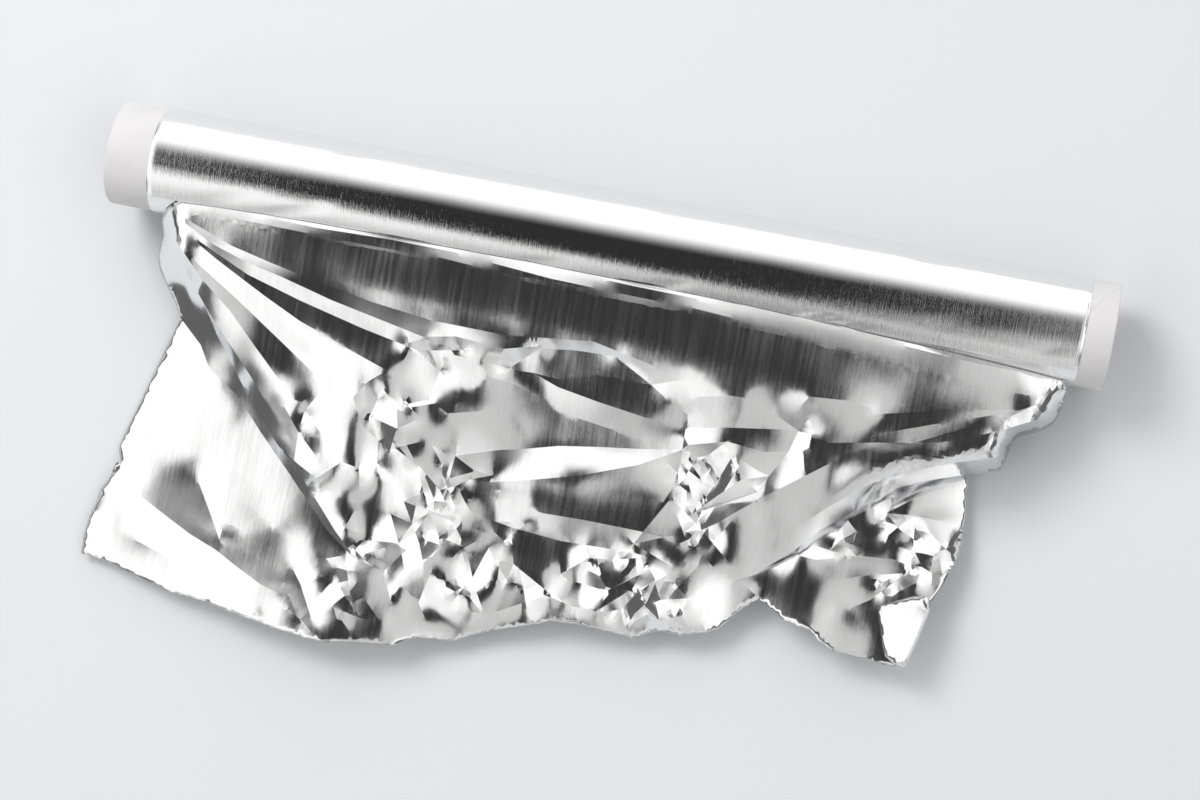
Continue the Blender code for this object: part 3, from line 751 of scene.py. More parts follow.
RIGHT_FOLD_CREST = [(1000, 470, 9.5), (950, 477, 11.0), (924, 481, 11.8), (896, 489, 12.4), (858, 509, 13.2),
                    (820, 530, 13.2), (791, 553, 12.6), (757, 572, 11.8), (732, 583, 11.0)]
RIGHT_SELVEDGE = [(1065, 377, 26.5), (1067, 388, 21.0), (1064, 404, 15.5), (1057, 419, 12.5),
                  (1048, 428, 11.0), (1034, 433, 10.0), (1019, 436, 10.0), (1012, 442, 10.0),
                  (1006, 460, 9.4), (1000, 470, 9.5)]
RIGHT_FLAP_EDGE = [(968, 478, 3.8), (967, 502, 3.8), (964, 530, 5.5), (959, 555, 8.0), (942, 586, 10.5),
                   (928, 606, 11.2)]
CORNER_FOLD = [(928, 606, 11.2), (917, 634, 11.2), (902, 667, 11.0)]
RIGHT_CUT = [(759, 598, 9.6), (784, 620, 11.0), (810, 630, 12.2), (818, 640, 12.1), (832, 650, 11.6),
             (864, 658, 10.4), (880, 664, 10.3), (902, 667, 11.0)]
CORNER_FLAP = [(928, 597, 15.2), (906, 600, 13.3), (877, 606, 11.4), (880, 628, 11.3), (884, 655, 11.8),
               (893, 664, 12.8), (902, 667, 13.6)]

# Hidden inner lines of the two folds: along the foil from its left edge, ahead of the axis, height
LEFT_FOLD_HIDDEN = [(30, 41, 4.6), (38, 52, 5.6), (48, 65, 6.6), (60, 78, 7.6), (78, 96, 8.6), (90, 109, 9.5)]
RIGHT_FOLD_HIDDEN = [(246, 40, 2.6), (236, 46, 3.2), (217, 58, 3.6), (203, 75, 6.0), (193, 92, 11.0)]
# The edge over the roll's shoulder and the crest before it: along the foil, ahead of the axis, height
REAR_EDGE = [(8.7, 12.5, 27.1), (30.8, 11.3, 28.3), (78, 10.6, 28.9), (168, 10.8, 28.8), (218, 12.4, 27.3),
             (258, 14.0, 25.2), (277, 15.3, 22.6)]
CREST = [(8.7, 15.5, 27.7), (30.8, 15.4, 29.0), (78, 15.8, 29.7), (168, 17.0, 29.8), (218, 19.6, 28.5),
         (258, 22.0, 26.8), (277, 22.6, 24.0)]
# The wall in front of the roll: ahead of the axis and height, from the table to the rear edge
WALL = [(0.0, 0.10), (14.0, 0.10), (16.6, 0.8), (18.6, 4.0), (19.6, 9.0), (19.8, 15.0), (19.0, 20.5),
        (17.4, 25.0)]

# The sheet's height on the way from the crest to the cut edge: share of the way, share of the crest's height
TENT = [(0.0, 1.0), (0.04, 0.99), (0.085, 0.955), (0.127, 0.89), (0.21, 0.745), (0.3, 0.59), (0.38, 0.475),
        (0.51, 0.385), (0.68, 0.335), (0.85, 0.32), (1.0, 0.36)]
# Broad swells of the sheet: across, down, reach and height in millimetres
SWELLS = [(400, 440, 42, 4.0), (330, 400, 34, 2.0), (560, 470, 36, 1.4), (700, 560, 34, 1.2),
          (640, 600, 30, 1.0), (470, 590, 34, 1.0)]

# Creases on the main sheet: across, down, and lift over the smooth sheet in millimetres
CREASES = [
    # long wrinkles over the fold above the roll's shoulder
    [(214, 210, 0.0), (262, 219, 0.35), (330, 233, 0.1), (400, 244, 0.4), (470, 258, 0.15)],
    [(232, 220, 0.0), (300, 234, 0.3), (380, 250, -0.25), (450, 262, 0.3), (520, 279, -0.1), (600, 292, 0.2)],
    [(404, 241, 0.0), (480, 256, 0.45), (560, 272, 0.05), (640, 290, 0.4), (720, 306, 0.0)],
    [(500, 267, 0.1), (560, 283, 0.4), (640, 300, -0.2), (700, 312, 0.25), (780, 332, 0.0)],
    [(640, 284, 0.1), (720, 301, 0.4), (800, 322, 0.1), (880, 340, 0.35), (950, 352, 0.0)],
    [(900, 347, 0.0), (960, 362, 0.5), (1020, 374, 0.3), (1044, 384, 0.0)],
    # fan from the left pinch
    [(196, 221, 0.0), (245, 250, 0.0), (284, 267, 0.0), (326, 284, 0.0), (376, 303, 0.0), (440, 323, 0.0),
     (510, 337, 0.2), (600, 344, 0.0), (660, 368, 0.0)],
    [(197, 226, 0.3), (226, 248, 0.7), (260, 266, 0.9), (293, 280, 1.0), (342, 303, 1.1), (392, 323, 1.3),
     (432, 339, 1.6), (465, 339, 1.9), (512, 351, 1.7), (548, 348, 0.6)],
    [(214, 246, 0.0), (260, 278, 0.0), (310, 303, 0.0), (370, 330, -0.1), (425, 352, -0.3), (470, 352, -0.3)],
    [(193, 232, 0.2), (230, 263, 0.5), (276, 299, 0.6), (309, 323, 0.7), (359, 352, 0.8), (395, 372, 1.6)],
    [(205, 262, 0.0), (245, 300, -0.1), (290, 345, -0.1), (330, 385, 0.2)],
    [(190, 245, 0.4), (215, 283, 0.9), (240, 313, 1.0), (263, 349, 1.1), (284, 380, 1.2), (299, 399, 1.2)],
    [(199, 279, 0.2), (222, 322, 0.3), (248, 366, 0.3), (272, 408, 0.3), (292, 440, 0.1)],
    # wrinkles beside the fold
    [(268, 404, -0.2), (285, 394, 1.3), (306, 403, 1.4), (311, 412, -0.8), (318, 427, 1.0)],
    [(276, 441, 0.0), (300, 436, 1.0), (322, 438, 0.2)],
    [(283, 449, 0.2), (300, 464, 1.3), (319, 478, 1.9), (322, 492, -0.8), (330, 499, 0.6)],
    [(319, 478, 1.9), (345, 462, 0.8), (362, 468, 1.6), (360, 500, -1.0), (345, 528, 1.0)],
    # middle left
    [(395, 372, 1.6), (375, 383, 1.3), (360, 398, 1.6), (366, 424, 0.4), (381, 441, -1.3), (378, 466, -1.6)],
    [(381, 441, -1.3), (404, 430, 2.2), (403, 410, 1.9), (394, 395, 1.6), (383, 400, -0.4), (374, 418, 0.6)],
    [(381, 441, -1.3), (392, 450, 1.2), (416, 444, 0.6), (430, 441, 1.4), (446, 452, 0.2)],
    [(414, 346, 1.8), (420, 352, 1.4), (436, 364, -0.7), (445, 372, -1.2)],
    [(414, 346, 1.8), (432, 341, 1.2), (458, 349, 1.6), (470, 346, 0.6)],
    [(445, 372, -1.2), (458, 356, 0.9), (486, 362, 1.0), (494, 378, 0.9)],
    [(417, 408, 1.4), (432, 400, -0.3), (445, 372, -1.2)],
    [(417, 408, 1.4), (404, 404, 0.2), (395, 396, 1.2)],
    # dark and white strips of the middle, from the upper one down
    [(452, 414, 1.4), (440, 404, 0.6), (417, 408, 1.4)],
    [(513, 370, -1.0), (538, 374, -1.0), (562, 380, -1.0), (600, 376, -1.0), (655, 386, -1.0)],
    [(513, 370, -1.0), (546, 350, -1.3), (580, 352, -1.4), (620, 358, -1.4), (655, 386, -1.0)],
    [(538, 374, -1.0), (562, 388, -0.4), (600, 402, 0.1), (648, 418, 0.0), (690, 428, -0.6)],
    [(494, 378, 0.9), (516, 384, 0.2), (546, 399, -0.6), (560, 412, -0.8), (600, 425, -0.9), (640, 438, -0.8),
     (683, 450, -0.5)],
    [(494, 378, 0.9), (470, 396, 0.4), (452, 414, 1.4), (462, 434, 0.8), (458, 456, 0.7)],
    [(452, 414, 1.4), (480, 412, 0.9), (510, 406, 0.2), (546, 399, -0.6)],
    [(510, 406, 0.2), (527, 430, -0.3), (524, 449, -1.1)],
    [(470, 412, 1.1), (496, 430, 0.2), (524, 449, -1.1)],
    [(458, 456, 0.5), (500, 450, -0.8), (524, 449, -1.1), (560, 446, -1.2), (600, 447, -1.2),
     (640, 449, -1.0), (683, 450, -0.5)],
    [(458, 456, 0.7), (476, 470, 1.2), (494, 476, 0.5), (491, 482, 1.0), (466, 481, 0.2)],
    [(466, 481, 0.2), (491, 482, 1.0), (530, 480, 1.7), (580, 476, 2.0), (640, 465, 1.3), (683, 450, -0.5)],
    [(476, 486, 0.6), (530, 496, 1.4), (606, 492, 1.6), (660, 500, 1.3), (686, 512, 0.4)],
    [(460, 488, 0.2), (500, 500, 0.7), (544, 513, 1.1), (586, 520, 1.2), (640, 531, 1.1), (664, 537, 0.7)],
    [(470, 512, -0.3), (510, 527, -0.5), (560, 541, -0.7), (610, 549, -0.7), (648, 556, -0.5)],
    [(655, 386, -1.0), (670, 400, -0.2), (690, 415, -0.8), (690, 428, -0.6)],
    [(655, 386, -1.0), (700, 379, 0.2), (735, 397, 1.0), (755, 400, 0.8), (800, 431, -1.2)],
    [(690, 415, -0.8), (700, 398, 0.4), (735, 397, 1.0)],
    [(690, 428, -0.6), (730, 428, 0.2), (786, 430, -0.5), (800, 431, -1.2)],
    # column of small facets
    [(683, 450, -0.5), (694, 466, 0.6), (702, 478, 1.0), (700, 500, 0.0), (692, 514, -1.2), (695, 533, 0.2)],
    [(683, 450, -0.5), (690, 445, 0.8), (698, 457, -0.8), (694, 466, 0.6)],
    [(690, 470, 1.4), (684, 480, -0.6), (682, 500, 1.0), (692, 514, -1.2)],
    [(698, 457, -0.8), (735, 455, 1.6), (758, 470, 0.4), (770, 476, -0.3)],
    [(735, 455, 1.6), (720, 478, -0.6), (705, 500, -0.2)],
    [(692, 514, -1.2), (715, 498, 1.4), (742, 480, 1.8), (770, 476, -0.3)],
    [(692, 514, -1.2), (730, 502, 0.2), (758, 492, 0.0), (770, 476, -0.3)],
    [(800, 431, -1.2), (790, 452, 0.4), (770, 476, -0.3)],
    [(800, 431, -1.2), (805, 455, 1.2), (806, 476, 1.9)],
    [(800, 431, -1.2), (812, 418, 0.4), (820, 409, 0.8), (812, 398, 1.2), (800, 410, 0.6), (800, 431, -1.2)],
    [(690, 445, 0.8), (730, 442, 1.4), (765, 452, 1.2), (790, 452, 0.4)],
    # fan from the right pinch
    [(812, 398, 1.2), (850, 402, 0.9), (874, 410, 0.6), (876, 415, -0.6), (960, 411, 0.2), (1020, 411, 0.4),
     (1034, 406, 1.2), (1040, 414, -1.0), (1052, 408, 0.4)],
    [(830, 443, 0.2), (880, 443, -0.2), (915, 443, 0.1), (960, 430, 0.3), (1010, 417, 0.5), (1034, 406, 1.2)],
    [(880, 440, -0.2), (882, 434, 0.3), (940, 424, 0.3), (1000, 415, 0.1), (1020, 411, 0.4)],
    [(1040, 414, -1.0), (1036, 420, 0.6), (1010, 428, 0.6), (975, 437, 0.8), (940, 443, 0.4),
     (915, 443, 0.2)],
    # upper line of the right fold band
    [(1012, 438, 0.6), (960, 446, 1.0), (915, 443, 0.2), (870, 447, 0.8), (840, 459, 1.4), (806, 476, 1.9),
     (770, 494, 2.2), (744, 508, 2.1), (716, 524, 1.5), (695, 533, 0.5)],
    [(1004, 456, 0.7), (960, 462, 1.1), (915, 470, 1.3), (870, 484, 1.3), (830, 506, 1.0), (790, 532, 0.7),
     (760, 552, 0.5), (740, 570, 0.4)],
    [(800, 500, 1.5), (804, 510, 1.0), (796, 530, 0.8), (774, 548, 0.7)],
    [(758, 500, 2.0), (766, 524, 1.0), (785, 516, 1.4)],
    # below the dark fan
    [(664, 537, 0.7), (676, 545, -0.3), (692, 538, 0.8), (710, 540, -0.5), (716, 552, 0.6)],
    [(544, 513, 1.1), (530, 520, 0.2), (524, 526, 0.5), (503, 541, -0.8)],
    [(503, 541, -0.8), (500, 560, 1.2), (497, 580, -0.6)],
    [(460, 490, 0.0), (470, 510, 0.3), (503, 541, -0.8)],
    [(440, 490, -1.4), (448, 505, 0.8), (452, 524, -1.4), (462, 548, 1.0), (466, 575, -1.0)],
    [(440, 490, -1.4), (428, 508, 1.2), (412, 525, -0.8), (400, 538, 1.2)],
    [(440, 490, -1.4), (424, 468, 1.0), (402, 450, 1.8)],
    [(440, 490, -1.4), (446, 466, 1.4), (452, 440, 0.6)],
    [(440, 490, -1.4), (457, 486, 0.5), (466, 481, 0.2)],
    [(530, 520, 0.2), (556, 528, 0.3), (572, 545, -0.6), (582, 562, 0.8), (560, 574, -0.4)],
    [(586, 520, 1.2), (580, 540, -0.4), (590, 550, 0.4)],
    [(590, 558, 1.6), (612, 560, -0.8), (636, 558, 1.8), (637, 576, -0.4), (608, 590, 0.8)],
    [(582, 568, -0.8), (600, 576, 1.4), (608, 590, 0.8), (580, 586, -1.2)],
    # crater rings and the small stars above the cut edge
    [(642, 590, 1.4), (655, 580, 1.8), (675, 582, 1.2), (688, 598, 1.6), (682, 616, 0.6), (660, 620, 1.2),
     (646, 606, 1.6), (642, 590, 1.4)],
    [(660, 600, -1.2), (655, 580, 1.8)], [(660, 600, -1.2), (688, 598, 1.6)],
    [(660, 600, -1.2), (646, 606, 1.6)],
    [(404, 552, 0.6), (418, 562, 1.6), (434, 556, 1.8), (440, 545, 0.4), (424, 540, -1.2), (404, 552, 0.6)],
    [(380, 573, -1.4), (364, 560, 1.2), (352, 548, -0.8)],
    [(380, 573, -1.4), (404, 552, 0.6)], [(380, 573, -1.4), (396, 578, 1.2), (410, 596, -0.8)],
    [(380, 573, -1.4), (386, 548, 1.4), (372, 538, -0.8), (345, 528, 1.0)],
    [(475, 580, -1.2), (470, 598, 1.0), (480, 612, -0.6)],
    [(475, 580, -1.2), (458, 590, 1.4), (440, 600, -0.6)],
    [(475, 580, -1.2), (497, 580, 0.8), (520, 590, -1.0), (545, 584, 1.2), (560, 600, -0.8)],
    [(608, 590, 0.8), (624, 582, 1.6), (640, 574, -0.6)], [(620, 610, -1.8), (640, 590, 1.0)],
    [(620, 610, -1.8), (600, 612, 0.8), (570, 606, 0.2), (552, 598, 1.2)],
]

# Creases on the two layers folded under: across, down and height over the table
LEFT_FLAP_CREASES = [
    [(200, 345, 5.2), (201, 364, 4.2), (216, 384, 5.4), (238, 404, 5.6)],
    [(215, 408, 4.8), (232, 410, 5.5), (243, 420, 5.4)],
    [(121, 444, 1.9), (136, 452, 2.8), (128, 458, 2.7), (124, 482, 4.0), (136, 492, 5.6)],
    [(136, 492, 5.6), (165, 515, 7.0), (190, 534, 7.8), (216, 550, 8.4)],
    [(97, 510, 4.6), (120, 532, 4.8), (150, 548, 5.2), (185, 566, 6.4)],
    [(216, 550, 8.4), (222, 530, 8.0), (215, 520, 6.4), (240, 528, 7.4)],
    [(216, 550, 8.4), (236, 566, 9.4), (260, 584, 10.6), (286, 597, 11.6)],
    [(286, 597, 11.4), (300, 588, 10.4), (322, 592, 11.6), (330, 584, 10.6), (352, 580, 11.2)],
    [(300, 602, 11.0), (330, 606, 12.4), (360, 618, 11.0), (384, 622, 11.8)],
    [(200, 460, 4.0), (230, 466, 5.4), (262, 490, 6.8)],
    [(196, 484, 4.5), (216, 480, 5.4), (250, 510, 7.0), (290, 540, 8.6)],
    [(240, 620, 12.2), (262, 608, 11.0), (290, 610, 12.6), (310, 630, 12.8)],
    [(318, 560, 10.2), (340, 556, 8.8), (335, 566, 10.6)],
    [(150, 380, 1.4), (190, 400, 4.2)], [(140, 430, 2.0), (180, 450, 3.8), (240, 470, 6.0)],
]
RIGHT_FLAP_CREASES = [
    [(886, 513, 7.0), (872, 508, 9.2), (850, 518, 8.0), (838, 532, 9.4)],
    [(886, 513, 7.0), (900, 530, 10.0), (916, 541, 8.4)],
    [(886, 513, 7.0), (912, 500, 7.6), (940, 488, 5.8), (962, 484, 4.4)],
    [(886, 513, 7.0), (918, 516, 6.8), (960, 526, 6.2)],
    [(916, 541, 8.4), (934, 554, 11.2), (950, 547, 11.6), (960, 546, 8.6)],
    [(916, 541, 8.4), (914, 556, 10.4), (906, 571, 8.8)],
    [(934, 554, 11.2), (930, 572, 9.8), (918, 582, 12.2), (890, 596, 10.4)],
    [(906, 571, 8.8), (880, 584, 11.4), (884, 600, 9.6), (877, 607, 10.0)],
    [(906, 573, 8.6), (860, 576, 10.0), (820, 584, 11.0), (780, 592, 10.4)],
    [(906, 573, 8.6), (870, 600, 9.0), (836, 614, 9.8)],
    [(838, 532, 9.4), (846, 545, 7.6), (856, 556, 9.6)], [(838, 532, 9.4), (830, 552, 8.6), (816, 560, 10.4)],
    [(800, 556, 11.4), (816, 560, 10.4), (860, 556, 8.8), (900, 560, 8.0)],
    [(840, 600, 10.2), (870, 630, 10.0), (878, 640, 9.8)],
]

# The height at which the crumpled areas are seen, and how fast they fade towards their reach
CRUMPLES_SEEN_AT = 11.0
CRUMPLE_FADE = 1.8
# How strongly the main sheet is crumpled: across, down, reach in millimetres, strength
CRUMPLED = [(392, 418, 12, 0.6), (450, 500, 15, 0.65), (420, 565, 20, 0.6), (350, 585, 14, 0.5),
            (495, 585, 18, 0.55), (556, 560, 14, 0.4), (612, 580, 15, 0.6), (662, 602, 13, 0.75),
            (694, 482, 9, 0.9), (702, 535, 9, 0.75), (800, 442, 8, 0.5), (695, 418, 10, 0.4),
            (312, 425, 8, 0.5), (1040, 412, 4, 0.6), (500, 420, 16, 0.3), (430, 460, 28, 0.35),
            (600, 440, 18, 0.12), (520, 580, 34, 0.4), (630, 585, 26, 0.4), (350, 480, 20, 0.3),
            (850, 440, 10, 0.2), (740, 430, 13, 0.4)]
FLAP_CRUMPLED = [(104, 498, 10, 0.5), (215, 540, 10, 0.5), (300, 600, 14, 0.6), (345, 590, 16, 0.8),
                 (225, 405, 8, 0.3), (262, 545, 22, 0.35), (180, 580, 13, 0.3), (200, 480, 55, 0.1)]
LOWER_CRUMPLED = [(890, 520, 10, 0.7), (930, 562, 10, 0.9), (850, 545, 10, 0.7), (890, 600, 8, 0.7)]
# Where the folds are soft: across, down, reach in millimetres
SOFT = [(330, 275, 9), (500, 310, 9), (700, 350, 9), (900, 390, 9), (330, 350, 10), (880, 480, 12),
        (780, 530, 10), (960, 450, 8), (580, 490, 8), (280, 380, 8)]
FLAP_SOFT = [(150, 420, 24), (230, 440, 12)]
LOWER_SOFT = [(940, 500, 12), (820, 590, 14), (860, 630, 12)]
CORNER_SOFT = [(895, 630, 20)]


@dataclass(frozen=True)
class CrumpleLevel:
    """Random facets of one size: how high their corners stand, and how many of their edges are creases."""

    step: float
    height: float
    creased: float
    least_strength: float


LEVELS = (CrumpleLevel(14.0, 1.3, 0.85, 0.0), CrumpleLevel(8.0, 0.5, 0.7, 0.3),
          CrumpleLevel(4.2, 0.2, 0.6, 0.55))


def along_foil(shares: list) -> np.ndarray:
    """Points in millimetres for a list of (along the foil, ahead of the axis, height)."""
    return np.array([[ROLL.foil_left + x, ROLL.axis_y - ahead, z] for x, ahead, z in shares])


def reaches(points: np.ndarray, across: float, down: float, height: float, reach: float) -> np.ndarray:
    """How far plan points lie from a place in the picture, seen at a height, as a share of a reach."""
    centre = CAMERA.plan_point(across, down, height)
    return np.linalg.norm(points[:, :2] - centre[:2], axis=1) / reach


def strength_at(points: np.ndarray, places: list, least: float = 0.0) -> np.ndarray:
    """How strongly the sheet is crumpled at plan points.

    Args:
        points: plan points in millimetres.
        places: (across, down, reach, strength) of each crumpled area.
        least: the least strength.

    Returns:
        The strength at each point.
    """
    found = np.full(len(points), least)
    for across, down, reach, amount in places:
        gap = reaches(points, across, down, CRUMPLES_SEEN_AT, reach)
        found = np.maximum(found, amount * smooth_share(CRUMPLE_FADE - CRUMPLE_FADE * gap))
    return found


@dataclass
class Tent:
    """The main sheet without its creases. A share is one of the way from the crest to the cut edge."""

    cut_ahead: float = 134.0
    middle_height: float = 31.6
    crest_fade: float = 0.35
    back_bend: float = 1.4
    profile_range: tuple = (-0.2, 1.2)
    profile_points: int = 281
    softened: int = 13
    swells_seen_at: float = 12.0

    def __post_init__(self) -> None:
        """Reads the rear edge, the crest and the profile between crest and cut edge."""
        self.rear = rounded_line(along_foil(REAR_EDGE), 4)
        self.crest = rounded_line(along_foil(CREST), 4)
        profile, kernel = np.array(TENT), np.hanning(self.softened)
        self.shares = np.linspace(*self.profile_range, self.profile_points)
        padded = np.pad(np.interp(self.shares, profile[:, 0], profile[:, 1]), self.softened // 2, mode="edge")
        self.heights = np.convolve(padded, kernel / kernel.sum(), mode="valid")

    def near_shoulder(self, points: np.ndarray) -> np.ndarray:
        """How near plan points lie to the smooth band below the crest, from 1 on it to 0."""
        crest_y = np.interp(points[:, 0], self.crest[:, 0], self.crest[:, 1])
        return 1.0 - smooth_share((crest_y - points[:, 1]) / SHOULDER_BAND)

    def at(self, points: np.ndarray) -> np.ndarray:
        """The smooth sheet's height over plan points."""
        (rear_y, rear_z), (crest_y, crest_z) = (
            [np.interp(points[:, 0], line[:, 0], line[:, axis]) for axis in (1, 2)]
            for line in (self.rear, self.crest))
        share = (crest_y - points[:, 1]) / (crest_y - (ROLL.axis_y - self.cut_ahead))
        fade = smooth_share(share / self.crest_fade)
        front = np.interp(share, self.shares, self.heights)
        front = front * (crest_z * (1.0 - fade) + self.middle_height * fade)
        back_share = np.clip((points[:, 1] - crest_y) / (rear_y - crest_y), 0.0, 1.0)
        back = crest_z + (rear_z - crest_z) * back_share ** self.back_bend
        height = np.where(share > 0.0, front, back)
        for across, down, reach, amount in SWELLS:
            gap = reaches(points, across, down, self.swells_seen_at, reach)
            height = height + amount * smooth_share(1.0 - gap)
        return height


class Plate:
    """A thin sheet's resistance to bending, with creases where it folds freely, as one linear system."""

    # How stiff it is, the least width of a triangle in millimetres, and the share of error it settles to
    stiff: float = 6.0
    least_width: float = 0.25
    settled_share: float = 1e-8

    def __init__(self, places: np.ndarray, faces: np.ndarray, creased: dict) -> None:
        """Finds, for each inner edge, how the heights round it turn its two faces against each other.

        Args:
            places: plan points of the corners.
            faces: the triangles' corners.
            creased: how stiff each creased edge still is, by its lower and higher corner.
        """
        count = len(places)
        start, end, facing = (faces[:, turn].reshape(-1) for turn in ([0, 1, 2], [1, 2, 0], [2, 0, 1]))
        key = np.minimum(start, end).astype(np.int64) * count + np.maximum(start, end)
        order = np.argsort(key, kind="stable")
        same = key[order][1:] == key[order][:-1]
        first, second = order[:-1][same], order[1:][same]
        ends = np.stack([start[first], end[first], facing[first], facing[second]])
        run = places[ends[1]] - places[ends[0]]
        length = np.maximum(np.linalg.norm(run, axis=1), 1e-6)
        across = np.stack([-run[:, 1], run[:, 0]], axis=1) / length[:, None]
        pulls, widths = np.zeros(ends.shape), []
        for corner, sign in ((2, 1.0), (3, -1.0)):
            out = places[ends[corner]] - places[ends[0]]
            off = np.einsum("ij,ij->i", out, across)
            off = np.where(np.abs(off) < self.least_width, np.copysign(self.least_width, off), off)
            along = np.einsum("ij,ij->i", out, run) / length ** 2
            pulls[corner] += sign / off
            pulls[0] -= sign * (1.0 - along) / off
            pulls[1] -= sign * along / off
            widths.append(np.abs(off))
        left = np.array([creased.get(int(one), 1.0) for one in key[first]])
        self.count, self.ends, self.pulls = count, ends.reshape(-1), pulls
        self.stiffness = self.stiff * length / (widths[0] + widths[1]) * left
        self.own = np.bincount(self.ends, np.tile(self.stiffness, 4) * pulls.reshape(-1) ** 2, count)

    def push(self, heights: np.ndarray) -> np.ndarray:
        """The force on each corner that the bending of the sheet makes."""
        turned = np.sum(self.pulls * heights[self.ends].reshape(4, -1), axis=0) * self.stiffness
        return np.bincount(self.ends, (self.pulls * turned).reshape(-1), self.count)

    def settled(self, heights: np.ndarray, aim: np.ndarray, hold: np.ndarray, turns: int) -> np.ndarray:
        """The heights at rest, found by conjugate gradients.

        Args:
            heights: the first guess.
            aim: the height that each corner is drawn to.
            hold: how firmly it is drawn.
            turns: the most steps.

        Returns:
            The heights at rest.
        """
        own = self.own + hold
        rest = hold * aim - self.push(heights) - hold * heights
        eased = rest / own
        way, energy = eased.copy(), rest @ eased
        limit = self.settled_share * energy
        for _ in range(turns):
            force = self.push(way) + hold * way
            share = energy / (way @ force)
            heights = heights + share * way
            rest = rest - share * force
            eased = rest / own
            energy, before = rest @ eased, energy
            if energy < limit:
                break
            way = eased + energy / before * way
        return heights


@dataclass
class CreaseNet:
    """Points on creases, the stretches between them, and how firmly each point is held at its lift."""

    points: list = field(default_factory=list)
    lifts: list = field(default_factory=list)
    holds: list = field(default_factory=list)
    pairs: list = field(default_factory=list)

    def add(self, line: np.ndarray, ends: float, between: float) -> None:
        """Adds a crease of (x, y, lift) points.

        Args:
            line: the crease's points, close together.
            ends: how firmly its two ends are held.
            between: how firmly the points between them are held.
        """
        first = len(self.points)
        self.points += [tuple(point) for point in line[:, :2]]
        self.lifts += list(line[:, 2])
        self.holds += [ends, *[between] * (len(line) - 2), ends]
        self.pairs += [(first + number, first + number + 1) for number in range(len(line) - 1)]


